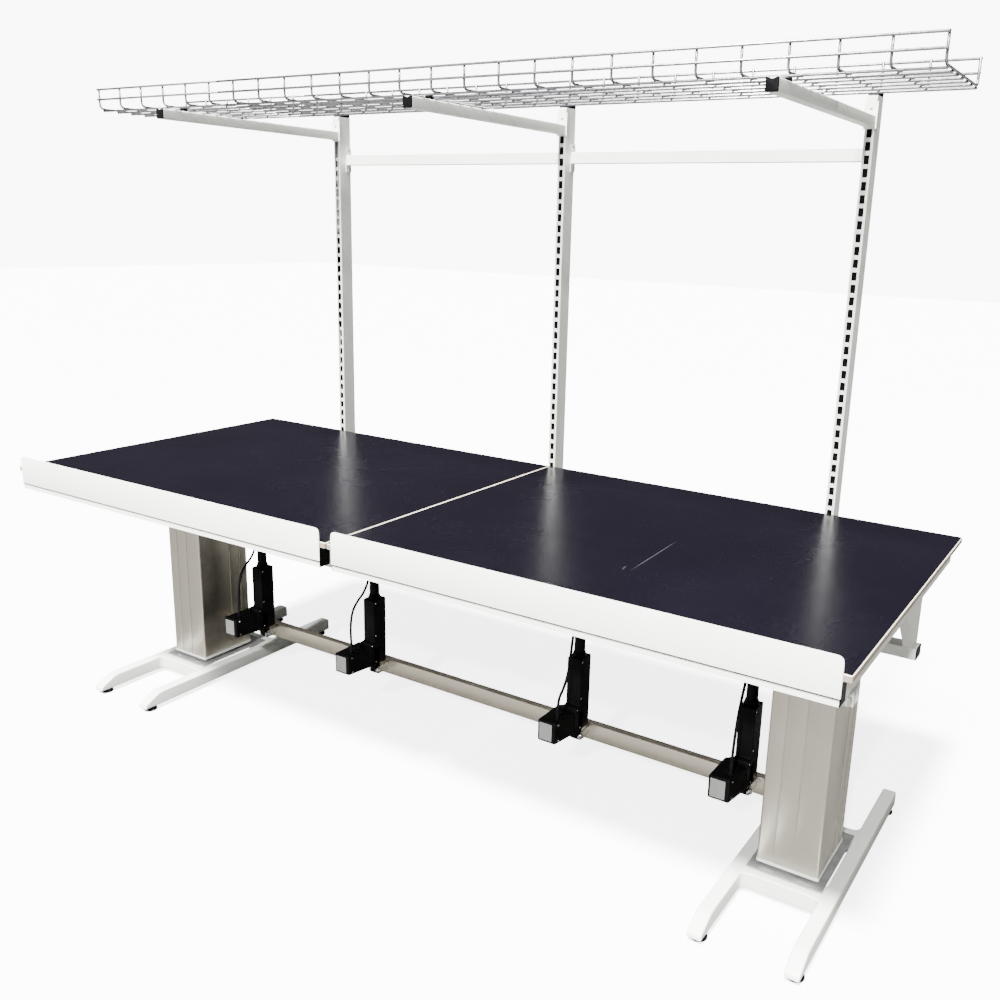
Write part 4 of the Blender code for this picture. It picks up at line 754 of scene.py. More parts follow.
def black_plastic(colours):
    """Moulded black plastic with a spark-eroded grain and paler worn patches."""
    plastic = Finish("black plastic", colours.black_plastic, 0.45)
    plastic.set("Specular IOR Level", 0.05)
    wear = plastic.noise(30.0, 5.0)
    plastic.set("Base Color", plastic.blend(wear, (0.5, 0.8), 0.6, plastic.colour, plastic.shade(1.8)))
    plastic.gloss(plastic.noise(55.0, 4.0), (0.3, 0.7), (0.38, 0.56))
    plastic.bump(plastic.noise(1100.0, 2.0), 0.00006)
    return plastic.material


def black_rubber(colours):
    """Dull black rubber with a dusting of grey."""
    rubber = Finish("black rubber", colours.black_plastic, 0.75)
    rubber.set("Specular IOR Level", 0.1)
    dust = rubber.noise(120.0, 5.0)
    rubber.set("Base Color", rubber.blend(dust, (0.5, 0.8), 0.5, rubber.shade(1.4), rubber.shade(5.0)))
    rubber.gloss(rubber.noise(200.0, 3.0), (0.3, 0.7), (0.6, 0.85))
    rubber.bump(rubber.noise(900.0, 2.0), 0.00008)
    return rubber.material


def bright_steel(colours):
    """Ground steel: fine rings across the length and a few dull patches."""
    steel = Finish("bright steel", colours.steel, 0.26, 1.0)
    rings = steel.noise(1.0, 4.0, steel.stretched((0.033, 0.033, 0.0007)))
    steel.set("Base Color", steel.blend(rings, (0.3, 0.75), 0.6, steel.colour, steel.shade(0.8)))
    steel.gloss(steel.noise(45.0, 4.0), (0.35, 0.7), (0.2, 0.38))
    steel.bump(rings, 0.00003)
    return steel.material


def zinc_wire(colours):
    """Zinc plated wire: small crystals of unlike brightness and a few white spots."""
    zinc = Finish("zinc wire", colours.zinc, 0.34, 1.0)
    crystals = zinc.texture("ShaderNodeTexVoronoi", 320.0).outputs["Distance"]
    tone = zinc.blend(crystals, (0.1, 0.7), 1.0, zinc.shade(1.12), zinc.shade(0.86))
    zinc.set("Base Color", zinc.blend(zinc.noise(70.0, 4.0), (0.6, 0.8), 0.4, tone, ZINC_BLOOM))
    zinc.gloss(zinc.noise(150.0, 3.0), (0.3, 0.7), (0.26, 0.46))
    zinc.bump(zinc.noise(800.0, 2.0), 0.00003)
    return zinc.material


def bare_label(colours):
    """Blank foil plate, lightly brushed."""
    foil = Finish("bare label", colours.label, 0.4, 0.6)
    brush = foil.noise(1.0, 4.0, foil.stretched((0.0014, 0.05, 0.05)))
    foil.set("Base Color", foil.blend(brush, (0.3, 0.7), 1.0, foil.shade(0.85), foil.shade(1.08)))
    foil.gloss(brush, (0.3, 0.7), (0.32, 0.5))
    foil.bump(brush, 0.00003)
    return foil.material


def flange_steel(colours):
    """Grey galvanised steel with cloudy patches and dull spots."""
    steel = Finish("flange steel", colours.flange, 0.5, 0.6)
    tone = steel.blend(steel.noise(24.0, 5.0), (0.3, 0.7), 1.0, steel.shade(0.8), steel.shade(1.15))
    spots = steel.noise(140.0, 3.0)
    steel.set("Base Color", steel.blend(spots, (0.62, 0.75), 0.6, tone, steel.shade(0.6)))
    steel.gloss(steel.noise(50.0, 4.0), (0.3, 0.7), (0.42, 0.6))
    steel.bump(steel.noise(500.0, 2.0), 0.00004)
    return steel.material


FINISH_MAKERS = {
    "film": board_film, "plywood": plywood_edge, "veneer": veneer_edge, "enamel": white_enamel,
    "aluminium": anodised_aluminium, "stretcher": stretcher_enamel, "plastic": black_plastic,
    "rubber": black_rubber, "steel": bright_steel, "zinc": zinc_wire, "label": bare_label,
    "flange": flange_steel,
}
made_finishes = {}


def material(finish):
    """The material of a finish, made when it is first asked for."""
    if finish not in made_finishes:
        made_finishes[finish] = FINISH_MAKERS[finish](bpy.context.scene.table_colours)
    return made_finishes[finish]


class TABLE_OT_stage(bpy.types.Operator):
    """Camera at the photograph's view, pale floor and soft studio light"""

    bl_idname = "table.stage"
    bl_label = "Stage"

    def execute(self, context):
        """Makes the camera, the floor, the key, front and fill lights and the room's own light."""
        light = context.scene.table_light
        self.add_camera(context)
        self.add_floor(light)
        self.add_lamp("key light", light.key, light.key_spread, light.key_height, light.key_side)
        self.add_lamp("front light", light.front, light.front_spread, light.front_height, light.front_side)
        self.add_fill(light)
        self.add_room(context, light)
        return {"FINISHED"}

    def add_camera(self, context):
        """Turns the camera about the upright axis, dips it and rolls it, as the photograph's lines ask."""
        data = bpy.data.cameras.new("camera")
        data.sensor_width = CAMERA_SENSOR
        data.lens = CAMERA_LENS
        data.shift_x, data.shift_y = CAMERA_SHIFT
        data.clip_end = CAMERA_RANGE
        camera = bpy.data.objects.new("camera", data)
        turn = Matrix.Rotation(math.radians(CAMERA_TURN), 4, "Z")
        dip = Matrix.Rotation(math.radians(90.0 - CAMERA_DIP), 4, "X")
        roll = Matrix.Rotation(math.radians(CAMERA_ROLL), 4, "Z")
        camera.matrix_world = Matrix.Translation(CAMERA_PLACE) @ turn @ dip @ roll
        context.scene.collection.objects.link(camera)
        context.scene.camera = camera

    def add_floor(self, light):
        """A flat grid under the feet, which throws back less light on the table than the eye sees on it."""
        size = FLOOR_CELLS + 1
        reach = np.linspace(-FLOOR_REACH, FLOOR_REACH, size)
        x, y = np.meshgrid(reach, reach)
        points = np.stack([x, y, np.full_like(x, CAD_BOX[0][2] - FLOOR_GAP)], axis=-1).reshape(-1, 3)
        row, column = np.meshgrid(np.arange(FLOOR_CELLS), np.arange(FLOOR_CELLS), indexing="ij")
        corner = (row * size + column).ravel()
        quads = np.stack([corner, corner + 1, corner + size + 1, corner + size], axis=1)
        mesh = bpy.data.meshes.new("studio_floor")
        mesh.from_pydata(points.tolist(), [], quads.tolist())
        paint = Finish("studio floor", light.floor, 0.7)
        seen = paint.nodes.new("ShaderNodeLightPath").outputs["Is Camera Ray"]
        pale = paint.mixed(paint.noise(0.8, 3.0), paint.shade(0.98), paint.shade(1.02))
        paint.set("Base Color", paint.mixed(seen, tuple(light.floor_bounce), pale))
        paint.set("Emission Color", (1, 1, 1, 1))
        paint.set("Emission Strength", paint.ranged(seen, (0.0, 1.0), (0.0, light.floor_glow)))
        mesh.materials.append(paint.material)
        floor = bpy.data.objects.new("studio_floor", mesh)
        bpy.context.scene.collection.objects.link(floor)

    def add_lamp(self, name, strength, spread, height, side):
        """A far lamp at the front, raised above the floor by one angle and turned to the right by another."""
        data = bpy.data.lights.new(name, "SUN")
        data.energy = strength
        data.angle = spread
        lamp = bpy.data.objects.new(name, data)
        lamp.rotation_euler = (math.pi / 2 - height, 0.0, side)
        bpy.context.scene.collection.objects.link(lamp)

    def add_fill(self, light):
        """A large rectangular light at the front left that faces the table."""
        data = bpy.data.lights.new("fill light", "AREA")
        data.shape = "RECTANGLE"
        data.size, data.size_y = FILL_SIZE
        data.energy = light.fill
        lamp = bpy.data.objects.new("fill light", data)
        lamp.location = FILL_PLACE
        lamp.rotation_euler = (Vector(FILL_AIM) - Vector(FILL_PLACE)).to_track_quat("-Z", "Y").to_euler()
        bpy.context.scene.collection.objects.link(lamp)

    def add_room(self, context, light):
        """A pale room to the eye, and to the surfaces that it lights a bright ceiling over dim walls."""
        world = bpy.data.worlds.new("studio room")
        world.use_nodes = True
        nodes, links = world.node_tree.nodes, world.node_tree.links
        nodes.clear()
        seen, shed = nodes.new("ShaderNodeBackground"), nodes.new("ShaderNodeBackground")
        for surface in (seen, shed):
            surface.inputs["Color"].default_value = (1.0, 1.0, 1.0, 1.0)
        seen.inputs["Strength"].default_value = light.backdrop
        split, rise = nodes.new("ShaderNodeSeparateXYZ"), nodes.new("ShaderNodeMapRange")
        links.new(nodes.new("ShaderNodeTexCoord").outputs["Generated"], split.inputs["Vector"])
        links.new(split.outputs["Z"], rise.inputs["Value"])
        rise.inputs["From Min"].default_value, rise.inputs["From Max"].default_value = CEILING_FADE
        rise.inputs["To Min"].default_value = light.walls
        rise.inputs["To Max"].default_value = light.ceiling
        links.new(rise.outputs["Result"], shed.inputs["Strength"])
        pick, out = nodes.new("ShaderNodeMixShader"), nodes.new("ShaderNodeOutputWorld")
        links.new(nodes.new("ShaderNodeLightPath").outputs["Is Camera Ray"], pick.inputs["Fac"])
        links.new(shed.outputs["Background"], pick.inputs[1])
        links.new(seen.outputs["Background"], pick.inputs[2])
        links.new(pick.outputs["Shader"], out.inputs["Surface"])
        context.scene.world = world


def drive_pivot(number):
    """The middle of the pin at a drive's foot: under its rod, an eye's radius above the housing's foot."""
    x, y, _ = span(f"push_rod_{number}")
    return middle_of(x), middle_of(y), span(f"actuator_housing_{number}")[2][0] + EYE_RADIUS


class TABLE_OT_cables(bpy.types.Operator):
    """Motor cables of the four drives, from their glands to the clips on the outer tubes"""

    bl_idname = "table.cables"
    bl_label = "Motor cables"

    def execute(self, context):
        """Carries a circle along the smooth route of each cable."""
        for number, points in zip(DRIVES, CABLE_ROUTES):
            route = smooth_curve(CABLE_START + points + CABLE_END)
            path = np.column_stack([np.full(len(route), drive_pivot(number)[0]), route])
            cable = make_piece(f"drive_cable_{number}", f"actuator_{number}",
                               [(wire(path, (1, 0, 0), CABLE_DIAMETER, 12), "rubber")],
                               [f"motor_cable_{number}"])
        return {"FINISHED"}


class TABLE_OT_boards(bpy.types.Operator):
    """Two film-faced boards with chamfered plywood edges"""

    bl_idname = "table.boards"
    bl_label = "Boards"

    def execute(self, context):
        """Carries a rounded rectangle up through the board's thickness, with a chamfer at both faces."""
        chamfer = context.scene.table_sizes.board_chamfer
        for side in SIDES:
            x, y, z = span(f"board_{side}")
            board = bar(rectangle(x, y, BOARD_CORNER), "z", z, chamfer, steps=1)
            make_piece(f"table_board_{side}", f"{side}_top", [(board, "veneer", "plywood", "veneer", "film")],
                       [f"board_{side}"])
        return {"FINISHED"}


class TABLE_OT_lips(bpy.types.Operator):
    """White front lips that stop goods from sliding off a tilted top, each with a dark bead of painted shadow
    along its foot
    """

    bl_idname = "table.lips"
    bl_label = "Front lips"

    def execute(self, context):
        """Carries the lip's outline through the sheet's thickness, and the section of the painted-shadow bead
        along the lip.
        """
        corner = context.scene.table_sizes.lip_corner
        for side in SIDES:
            x, y, z = span(f"front_lip_{side}")
            top = z[1] + LIP_CREST
            outline = soft_outline([(x[0], z[0]), (x[1], z[0]), (x[1], top), (x[0], top)],
                                   [LIP_FOOT_CORNER, LIP_FOOT_CORNER, corner, corner], steps=8)
            # A dark bead under the lip's foot paints the shadow that the lip's edge casts on the tube below.
            shadow_bead_heights = (z[0] - LIP_SHADOW_BEAD, z[0] + LIP_SHADOW_BEAD / 4)
            shadow_bead = rectangle((y[0] + SHADOW_BEAD_SETBACK, y[1]), shadow_bead_heights, LIP_SHADOW_BEAD / 4, 2)
            parts = [(bar(outline, "y", y, LIP_EDGE, 2), "enamel"),
                     (bar(shadow_bead, "x", (x[0] + LIP_SHADOW_BEAD, x[1] - LIP_SHADOW_BEAD)), "rubber")]
            make_piece(f"lip_{side}", f"{side}_top", parts, [f"front_lip_{side}"])
        return {"FINISHED"}


class TABLE_OT_base(bpy.types.Operator):
    """Welded base frames: two runners with sloping noses, joined by two bars"""

    bl_idname = "table.base"
    bl_label = "Base frames"

    def execute(self, context):
        """Carries the runners' side outline across their width, and the bars' plan up between them."""
        edge = context.scene.table_sizes.runner_edge
        for side in SIDES:
            x, y, z = span(f"base_frame_{side}")
            column_y = span(f"column_sleeve_{side}")[1]
            outline = soft_outline([(y[0], z[0]), (y[0], z[0] + NOSE_EDGE), (y[0] + NOSE_LENGTH, z[1]),
                                    (y[1], z[1]), (y[1], z[0])], RUNNER_CORNERS, 5)
            inner = (x[0] + RUNNER_WIDTH, x[1] - RUNNER_WIDTH)
            shells = [bar(outline, "x", ends, edge, 4) for ends in ((x[0], inner[0]), (inner[1], x[1]))]
            between = (inner[0] - edge / 4, inner[1] + edge / 4)
            front = column_y[0] - BASE_BAR_REACH[0]
            rear = column_y[1] + BASE_BAR_REACH[1]
            shells += [self.flared_bar(between, ends, z, edge)
                       for ends in ((front, front + BASE_BAR_WIDTH), (rear - BASE_BAR_WIDTH, rear))]
            make_piece(f"welded_base_{side}", "base", [(shell, "enamel") for shell in shells],
                       [f"base_frame_{side}"])
        return {"FINISHED"}

    def flared_bar(self, x, y, z, edge):
        """A bar from runner to runner whose ends widen in hollow fillets.

        Its plan has a parabola at each corner of a rectangle, from one fillet beside it to one along it.
        Towards top and foot the plan narrows as a bar's rounded ends do.
        """
        narrow, heights = end_rounds(z, edge, 4)
        plan = np.array([(x[0], y[0]), (x[1], y[0]), (x[1], y[1]), (x[0], y[1])])
        corner = plan + narrow[:, None, None] * np.array([(0, 1), (0, 1), (0, -1), (0, -1)])
        along = BASE_FILLET * np.array([(1, 0), (-1, 0), (-1, 0), (1, 0)])
        aside = BASE_FILLET * np.array([(0, -1), (0, -1), (0, 1), (0, 1)])
        odd = np.array([[True], [False], [True], [False]])
        start, end = corner + np.where(odd, aside, along), corner + np.where(odd, along, aside)
        flat = [points.reshape(-1, 2) for points in (start, corner, end)]
        rings = rounding(*flat, 6).reshape(len(narrow), -1, 2)
        return skin(placed("z", rings[..., 0], rings[..., 1], heights[:, None]))


class TABLE_OT_feet(bpy.types.Operator):
    """Levelling feet: round rubber pads under the runners' ends"""

    bl_idname = "table.feet"
    bl_label = "Levelling feet"

    def execute(self, context):
        """Turns the pad's profile about the stem."""
        for side, runner, end in product(SIDES, ("inner", "outer"), ("front", "rear")):
            name = f"{side}_{runner}_{end}"
            x, y, z = span(f"levelling_foot_{name}")
            base_z = span(f"base_frame_{side}")[2][0]
            radius = (x[1] - x[0]) / 2
            rim, neck = np.add(PAD_RIM, (radius, z[0])), np.add(PAD_NECK, (radius / 2, base_z))
            pad = turned(np.concatenate([rim, neck]), "z", (middle_of(x), middle_of(y)), 32)
            make_piece(f"foot_pad_{name}", f"foot_{name}", [(pad, "rubber")], [f"levelling_foot_{name}"])
        return {"FINISHED"}


class TABLE_OT_columns(bpy.types.Operator):
    """Outer sleeves of the lifting columns, each with a white rim round its foot"""

    bl_idname = "table.columns"
    bl_label = "Column sleeves"

    def execute(self, context):
        """Carries the grooved profile up the sleeve, and back down inside it at the wall's thickness."""
        sizes = context.scene.table_sizes
        for side in SIDES:
            x, y, z = span(f"column_sleeve_{side}")
            centre = np.array([middle_of(x), middle_of(y)])
            half = np.array([x[1] - x[0], y[1] - y[0]]) / 2
            back_slots = [y[1] - y[0] - setback for setback in SIDE_SLOT_SETBACKS[::-1]]
            edges = [notched((x[0], y[0]), (x[1], y[0]), GROOVE_PLACES, *GROOVE),
                     notched((x[1], y[0]), (x[1], y[1]), SIDE_SLOT_SETBACKS, *SIDE_SLOT),
                     notched((x[1], y[1]), (x[0], y[1]), GROOVE_PLACES, *GROOVE),
                     notched((x[0], y[1]), (x[0], y[0]), back_slots, *SIDE_SLOT)]
            radii = [[sizes.sleeve_corner] + [GROOVE_CORNER] * (len(edge) - 1) for edge in edges]
            outer = soft_outline(np.concatenate(edges), np.concatenate(radii))
            inner = centre + (outer - centre) * (half - SLEEVE_WALL) / half
            make_piece(f"lifting_sleeve_{side}", "carriage", [(pipe(outer, inner, "z", z), "aluminium")],
                       [f"column_sleeve_{side}"])
            plain = rectangle(x, y, sizes.sleeve_corner, 6) - centre
            rim = pipe(centre + plain * (half + RIM_OVERHANG) / half,
                       centre + plain * (half - SLEEVE_WALL - RIM_INSET) / half, "z",
                       (z[0] - RIM_DROP, z[0] + sizes.rim_height))
            make_piece(f"sleeve_rim_{side}", "carriage", [(rim, "enamel")])
        return {"FINISHED"}


class TABLE_OT_stretcher(bpy.types.Operator):
    """Stretcher tube, with the steel forks, pins and nuts that hold the drives' feet"""

    bl_idname = "table.stretcher"
    bl_label = "Stretcher"

    def execute(self, context):
        """Carries the tube's outline along it and the forks' through each plate, and turns pins and nuts."""
        x, y, z = span("stretcher_tube")
        front = y[1] - STRETCHER_DEPTH
        edge = context.scene.table_sizes.tube_edge
        radius, reach = PIVOT_PIN
        shells = []
        for number in DRIVES:
            middle, *pivot = drive_pivot(number)
            low, high = about(pivot[1], FORK_RADIUS)
            fork = np.concatenate([half_round(*pivot, FORK_RADIUS, 90, 270),
                                   [(front + edge, low), (front + edge, high)]])
            shells.append(round_bar(radius, "x", pivot, about(middle, reach), 20))
            for outward in (-1, 1):
                near, face = (middle + outward * distance for distance in FORK_FACES)
                shells += [bar(fork, "x", (near, face), SHEET_EDGE, 1),
                           turned(WASHER, "x", pivot, 20, face, outward),
                           turned(NUT, "x", pivot, 6, face, outward)]
        tube = bar(rectangle((front, y[1]), z, 2 * edge), "x", x)
        parts = [(tube, "stretcher")] + [(shell, "steel") for shell in shells]
        make_piece("stretcher_bar", "carriage", parts, ["stretcher_tube"],
                   sharp=NUT_SHARP_ANGLE)
        return {"FINISHED"}


class TABLE_OT_drives(bpy.types.Operator):
    """Linear drives: housings with motor, screws and bare label, and thrust rods"""

    bl_idname = "table.drives"
    bl_label = "Linear drives"

    def execute(self, context):
        """Builds each drive about the pivot at its foot."""
        edge = context.scene.table_sizes.housing_edge
        for number in DRIVES:
            pivot = drive_pivot(number)
            tube_top = span(f"actuator_housing_{number}")[2][1]
            shells = [self.body(pivot, edge), self.motor(pivot), self.eye(pivot, edge),
                      *self.tubes(pivot, tube_top), self.clip(pivot, tube_top)]
            parts = [(shell, "plastic") for shell in shells] + [(self.label(pivot), "label")]
            parts += [(head, "steel") for head in self.screws(pivot)]
            make_piece(f"drive_housing_{number}", f"actuator_{number}", parts, [f"actuator_housing_{number}"])
            self.add_rod(number)
        return {"FINISHED"}

    def body(self, pivot, edge):
        """The L-shaped side outline of the gear body and its neck, carried across it."""
        x, y, z = pivot
        foot, neck_top, head = z + BODY_FOOT_RISE, z + NECK_TOP_RISE, z + BODY_TOP_RISE
        (front, back), neck_front = about(y, BODY_HALF_DEPTH), y - NECK_REACH
        outline = soft_outline([(neck_front, foot), (back, foot), (back, head), (front, head),
                                (front, neck_top), (neck_front, neck_top)], edge)
        return bar(outline, "x", about(x, BODY_HALF_WIDTH), edge / 2)

    def motor(self, pivot):
        """The motor's plan, whose right side slants to the body's, carried up."""
        x, y, z = pivot
        nose = y - MOTOR_REACH
        left, right = about(x + MOTOR_SHIFT, MOTOR_HALF)
        body_left, body_right = about(x, BODY_HALF_WIDTH)
        plan = soft_outline([(left, nose), (right, nose), (body_right, y - BODY_HALF_DEPTH - MOTOR_CORNER),
                             (body_right, y), (body_left, y), (left, nose + MOTOR_LENGTH)], MOTOR_CORNER, 5)
        return bar(plan, "z", (z + MOTOR_RISE[0], z + MOTOR_RISE[1]), MOTOR_EDGE, 4)

    def eye(self, pivot, edge):
        """The foot's round eye up to the body, carried across it."""
        x, y, z = pivot
        top = z + BODY_FOOT_RISE + 2 * edge
        outline = np.concatenate([half_round(y, z, EYE_RADIUS, 180, 360),
                                  [(y + EYE_RADIUS, top), (y - EYE_RADIUS, top)]])
        return bar(outline, "x", about(x, EYE_WIDTH / 2), FINE_EDGE, 2)

    def tubes(self, pivot, tube_top):
        """Shoulder, outer tube and cable gland, turned about upright axes."""
        x, y, z = pivot
        head = z + BODY_TOP_RISE
        tube = [(OUTER_TUBE_RADIUS, head - tube_top), *TUBE_MOUTH]
        return [turned(SHOULDER, "z", (x, y), 36, head), turned(tube, "z", (x, y), 36, tube_top),
                turned(GLAND, "z", (x, y - GLAND_SETBACK), 18, z + MOTOR_RISE[1])]

    def clip(self, pivot, tube_top):
        """The cable's clip on the front of the outer tube."""
        x, y, _ = pivot
        width, depth, height = CLIP_SIZE
        front, top = y - OUTER_TUBE_RADIUS, tube_top - CLIP_DROP
        plan = rectangle(about(x, width / 2), (front - depth, front + CLIP_SINK), CAP_CORNER)
        return bar(plan, "z", (top - height, top), FINE_EDGE, 2)

    def label(self, pivot):
        """The blank plate on the motor's nose."""
        x, y, z = pivot
        sides = [x + MOTOR_SHIFT + side for side in LABEL_SIDES]
        heights = (z + MOTOR_RISE[0] + LABEL_MARGIN, z + MOTOR_RISE[1] - LABEL_MARGIN)
        return bar(rectangle(sides, heights, LABEL_CORNER), "y", about(y - MOTOR_REACH, LABEL_HALF),
                   LABEL_EDGE, 1)

    def screws(self, pivot):
        """Screw heads on both sides of the body and of the motor."""
        x, y, z = pivot
        left, right = about(x + MOTOR_SHIFT, MOTOR_HALF)
        motor_faces = {-1: left, 1: right + MOTOR_FLARE}
        heads = []
        for outward in (-1, 1):
            body_face = x + outward * BODY_HALF_WIDTH
            for places, face in ((BODY_SCREWS, body_face), (MOTOR_SCREWS, motor_faces[outward])):
                heads += [screw_head("x", (y + along, z + rise), face, outward, HOUSING_SCREW)
                          for along, rise in places]
        return heads

    def add_rod(self, number):
        """Thrust rod turned about its length, with a round eye and the cross pin through it."""
        x, y, z = span(f"push_rod_{number}")
        eye_radius = (y[1] - y[0]) / 2
        eye_middle = (middle_of(y), z[1] - eye_radius)
        shaft = [(ROD_RADIUS - FINE_EDGE, z[0]), (ROD_RADIUS, z[0] + FINE_EDGE), (ROD_RADIUS, eye_middle[1])]
        shells = [turned(shaft, "z", (middle_of(x), middle_of(y)), 28),
                  round_bar(eye_radius, "x", eye_middle, about(middle_of(x), EYE_WIDTH / 2), 28),
                  round_bar(ROD_PIN_RADIUS, "x", eye_middle, x, 20)]
        make_piece(f"thrust_rod_{number}", f"rod_{number}", [(shell, "steel") for shell in shells],
                   [f"push_rod_{number}"])


class TABLE_OT_hinges(bpy.types.Operator):
    """Hinge bars at the front of both tops"""

    bl_idname = "table.hinges"
    bl_label = "Hinge bars"

    def execute(self, context):
        """Turns a bar with chamfered ends about the hinge's axis."""
        for side in SIDES:
            x, y, z = span(f"hinge_rod_{side}")
            hinge = round_bar((z[1] - z[0]) / 2, "x", (middle_of(y), middle_of(z)), x, 24)
            make_piece(f"hinge_bar_{side}", "carriage", [(hinge, "steel")], [f"hinge_rod_{side}"])
        return {"FINISHED"}


class TABLE_OT_tray(bpy.types.Operator):
    """Wire cable tray in two lengths, with the saddles that hold it on its arms"""

    bl_idname = "table.tray"
    bl_label = "Cable tray"

    def execute(self, context):
        """Carries circles along bent cross wires, and along straight wires that lie outside them."""
        sizes = context.scene.table_sizes
        thick = sizes.wire_diameter
        low = span("cable_tray_short")[0][0] - TRAY_OVERHANG
        high = span("cable_tray_long")[0][1] + TRAY_OVERHANG
        cross = np.linspace(low + thick / 2, high - thick / 2, CROSS_WIRES)
        for length in ("short", "long"):
            x, y, z = span(f"cable_tray_{length}")
            x = (low, x[1]) if length == "short" else (x[0], high)
            front, rear = y[0] + thick / 2, y[1] - thick / 2
            floor, brim = z[0] + TRAY_LIFT + thick / 2, z[1] + TRAY_RISE
            nest = WIRE_NEST * thick
            near, far, bed = front + nest, rear - nest, floor + nest
            shells = []
            for place in cross[(cross > x[0]) & (cross < x[1])]:
                corners = [(place, near, brim), (place, near, bed), (place, far, bed), (place, far, brim)]
                shells.append(wire(soft_path(corners, sizes.wire_bend), (1, 0, 0), thick))
            margins = (front + FLOOR_WIRE_MARGIN, rear - FLOOR_WIRE_MARGIN)
            runs = [(at, floor) for at in np.linspace(*margins, FLOOR_WIRES)]
            for wall in (front, rear):
                runs += [(wall, floor + MID_WIRE_HEIGHT), (wall, brim - WIRE_END - thick / 2)]
            for at, height in runs:
                path = [(x[0], at, height), (middle_of(x), at, height), (x[1], at, height)]
                shells.append(wire(path, (0, 0, 1), thick))
            make_piece(f"wire_tray_{length}", "carriage", [(shell, "zinc") for shell in shells],
                       [f"cable_tray_{length}"], sharp=WIRE_SHARP_ANGLE)
        self.add_saddles(y, z)
        return {"FINISHED"}

    def add_saddles(self, y, z):
        """Saddles of black plastic between the arms and the tray's floor."""
        heights = (z[0] - SADDLE_SINK, z[0] + TRAY_LIFT + SADDLE_RISE)
        parts = []
        for name in UPRIGHTS:
            x = span(f"tray_arm_{name}")[0]
            for at in (y[0] + SADDLE_SETBACK, y[1] - SADDLE_SETBACK):
                plan = rectangle(about(middle_of(x), SADDLE_HALF[0]), about(at, SADDLE_HALF[1]), CAP_CORNER)
                parts.append((bar(plan, "z", heights, SADDLE_EDGE, 2), "plastic"))
        make_piece("tray_saddles", "carriage", parts)


class TABLE_OT_arms(bpy.types.Operator):
    """Cantilever arms of the tray, with their hook plates and hollow gussets"""

    bl_idname = "table.arms"
    bl_label = "Tray arms"

    def execute(self, context):
        """Carries the arm's outline along it, the plate's through its thickness and the gusset's across it.

        The gusset's hollow is a quarter ellipse: it nears the plate by the sine of an angle and drops by the
        cosine of the same angle.
        """
        tongue_step, tongue_height = ARM_PLATE_TONGUE
        gusset_length, gusset_drop = ARM_GUSSET
        angle = np.linspace(0, np.pi / 2, 9)
        for name in UPRIGHTS:
            x, y, z = span(f"tray_arm_{name}")
            across = about(middle_of(x), ARM_HALF)
            low, top = z[0] + gusset_drop, z[1] - ARM_PLATE_RISE
            face, core = y[1] - ARM_PLATE, y[1] - ARM_PLATE / 2
            arm = rectangle(across, (low, top), ARM_EDGE, 5)
            left, right, shoulder = x[0] + tongue_step, x[1] - tongue_step, z[1] - tongue_height
            plate = soft_outline([(x[0], z[0]), (x[1], z[0]), (x[1], shoulder), (right, shoulder),
                                  (right, z[1]), (left, z[1]), (left, shoulder), (x[0], shoulder)],
                                 ARM_PLATE_CORNER)
            hollow = np.stack([face - gusset_length * (1 - np.sin(angle)),
                               z[0] + gusset_drop * np.cos(angle)], axis=1)
            gusset = np.concatenate([hollow, [(core, z[0]), (core, low + ARM_EDGE),
                                              (hollow[0][0], low + ARM_EDGE)]])
            shells = [bar(arm, "y", (y[0], core)), bar(plate, "y", (face, y[1]), SHEET_EDGE, 1),
                      bar(gusset, "x", across)]
            make_piece(f"cantilever_arm_{name}", "carriage", [(shell, "enamel") for shell in shells],
                       [f"tray_arm_{name}"])
        return {"FINISHED"}


